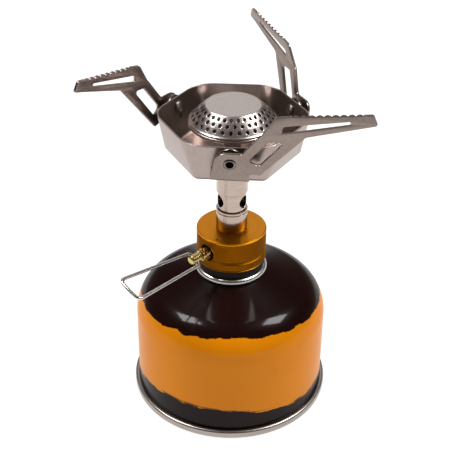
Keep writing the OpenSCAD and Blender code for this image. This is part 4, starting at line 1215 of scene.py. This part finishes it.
def fold(mesh):
    """Folds the flat blank: the head about its crease, the foot round into a channel."""
    shell = bmesh.new()
    shell.from_mesh(mesh)
    bmesh.ops.remove_doubles(shell, verts=shell.verts, dist=1e-6)
    along = Vector((math.cos(crease_turn), math.sin(crease_turn), 0))
    across = Vector((-along.y, along.x, 0))
    half = crease_r * math.tan(head_bend / 2)
    cuts = [(crease.to_3d() + across * half * (k / 3), across) for k in range(-3, 4)]
    for k in range(9):
        for bend_start in (fold_start, fold_start - quarter - channel_flat):
            cuts.append((Vector((0, bend_start - quarter * k / 8, 0)), Vector((0, 1, 0))))
    for at, facing in cuts:
        bmesh.ops.bisect_plane(
            shell, geom=shell.verts[:] + shell.edges[:] + shell.faces[:], dist=1e-7,
            plane_co=at * MM, plane_no=facing)
    for vertex in shell.verts:
        x, y, depth = vertex.co / MM
        above = (Vector((x, y, 0)) - crease.to_3d()).dot(across)
        if above > -half:
            share = min(1.0, (above + half) / (2 * half))
            turn = head_bend * share
            base = Vector((x, y, 0)) - across * (above + half)
            rest = max(0.0, above - half)
            out = Vector((0, 0, 1))
            centre = base - out * crease_r
            normal = out * math.cos(turn) + across * math.sin(turn)
            forward = across * math.cos(turn) - out * math.sin(turn)
            folded = centre + normal * (crease_r + depth) + forward * rest
        elif y < fold_start:
            folded = Vector((x, *in_channel(fold_start - y, depth)))
        else:
            folded = Vector((x, y, depth))
        vertex.co = (folded + Vector((0, 0, leg_standoff))) * MM
    bmesh.ops.recalc_face_normals(shell, faces=shell.faces)
    shell.to_mesh(mesh)
    shell.free()


outline, openings = stamped_blank()
arm_mesh = stamped_plate("pot_support", [outline, *openings], plate, plate_ease)
fold(arm_mesh)
# The rivet's seat is a shallow recess, and the dimple snaps into the pan's detent hole.
seat_low, seat_high = leg_standoff - plate + 0.02, leg_standoff - 0.36
seat = turned("seat", rounded([
    (seat_bore, seat_low, 0.05), (seat_hole + 0.07, seat_low, 0),
    (seat_hole + 0.07, seat_high, 0), (seat_bore, seat_high, 0.08)], 3), 48)
dimple_r = 1.0
dimple = turned("dimple", (
    [(0, washer_gap + 0.3), (dimple_r, washer_gap + 0.3), (dimple_r, washer_gap)]
    + arc(0, washer_gap + 0.35, 0.75, -55, -90, 6)), 32,
    place=Matrix.Translation((0, -detent_drop * MM, 0)))
parts = bmesh.new()
parts.from_mesh(arm_mesh)
for extra in (seat, dimple):
    extra.data.transform(extra.matrix_world)
    parts.from_mesh(extra.data)
    bpy.data.objects.remove(extra)
parts.to_mesh(arm_mesh)
parts.free()

plate_steel = sheet_metal(
    "stamped_stainless", (0.21, 0.168, 0.146), (0.31, 0.25, 0.22), 0.24, 0.40, 700.0, 0.000012,
    own_frame=True)
arm_mesh.materials.append(plate_steel)
# Play in the detents leaves each support a few degrees off level.
rest_lift = {"front": -2, "left": 3, "right": -1}
for side, lift in rest_lift.items():
    arm = bpy.data.objects.new("toothed_support_" + side, arm_mesh.copy())
    bpy.context.collection.objects.link(arm)
    arm.matrix_world = at_wall(side) @ Matrix.Rotation(math.radians(lift), 4, "Z")
    settled(shade(arm, 30))
    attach(arm, "support_" + side)
    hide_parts("pot_support_" + side)

# ---------------------------------------------------------------- rivets and washers
# Tubular rivets with a domed head inside the pan and a rolled lip outside. A
# dished spring washer under each support keeps it stiff.
rivet_bore, rivet_head, rivet_lip = 1.65, 2.4, 2.35
bore_end = -0.4
head_inside = -pan_sheet - 0.05
lip_z, lip_r = leg_standoff - 0.3, (rivet_lip - rivet_bore) / 2
rivet_steel = ringed_metal(
    "headed_rivet_steel", (0.20, 0.165, 0.145), (0.36, 0.30, 0.27), 0.3, 0.46, 1800.0, 0.000003)
for side in wall_turns:
    rivet = turned("tubular_rivet_" + side, (
        [(rivet_bore, bore_end), (rivet_bore, lip_z + 0.4)]
        + arc(rivet_bore + lip_r, lip_z + 0.35, lip_r, 180, 0, 10)
        + [(rivet_lip, lip_z), (shank_r, lip_z), (shank_r, head_inside)]
        + [(rivet_head * math.cos(math.radians(a)),
            head_inside - 0.3 - math.sin(math.radians(a))) for a in range(0, 91, 9)]
        + [(0, bore_end)]), 64, place=at_wall(side))
    rivet.data.materials.append(rivet_steel)
    rivet.data.materials.append(flame_stain_and_shade)
    # The bore's wall and its closed end get the dark finish as painted shade in the recess; the rest
    # is bright.
    for face in rivet.data.polygons:
        x, y, z = face.center / MM
        face.material_index = int(
            math.hypot(x, y) < rivet_bore + 0.01 and bore_end - 0.1 < z < lip_z)
    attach(rivet, "stove")
    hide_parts("rivet_" + side)
    carried("spring_washer_" + side, spring_steel)
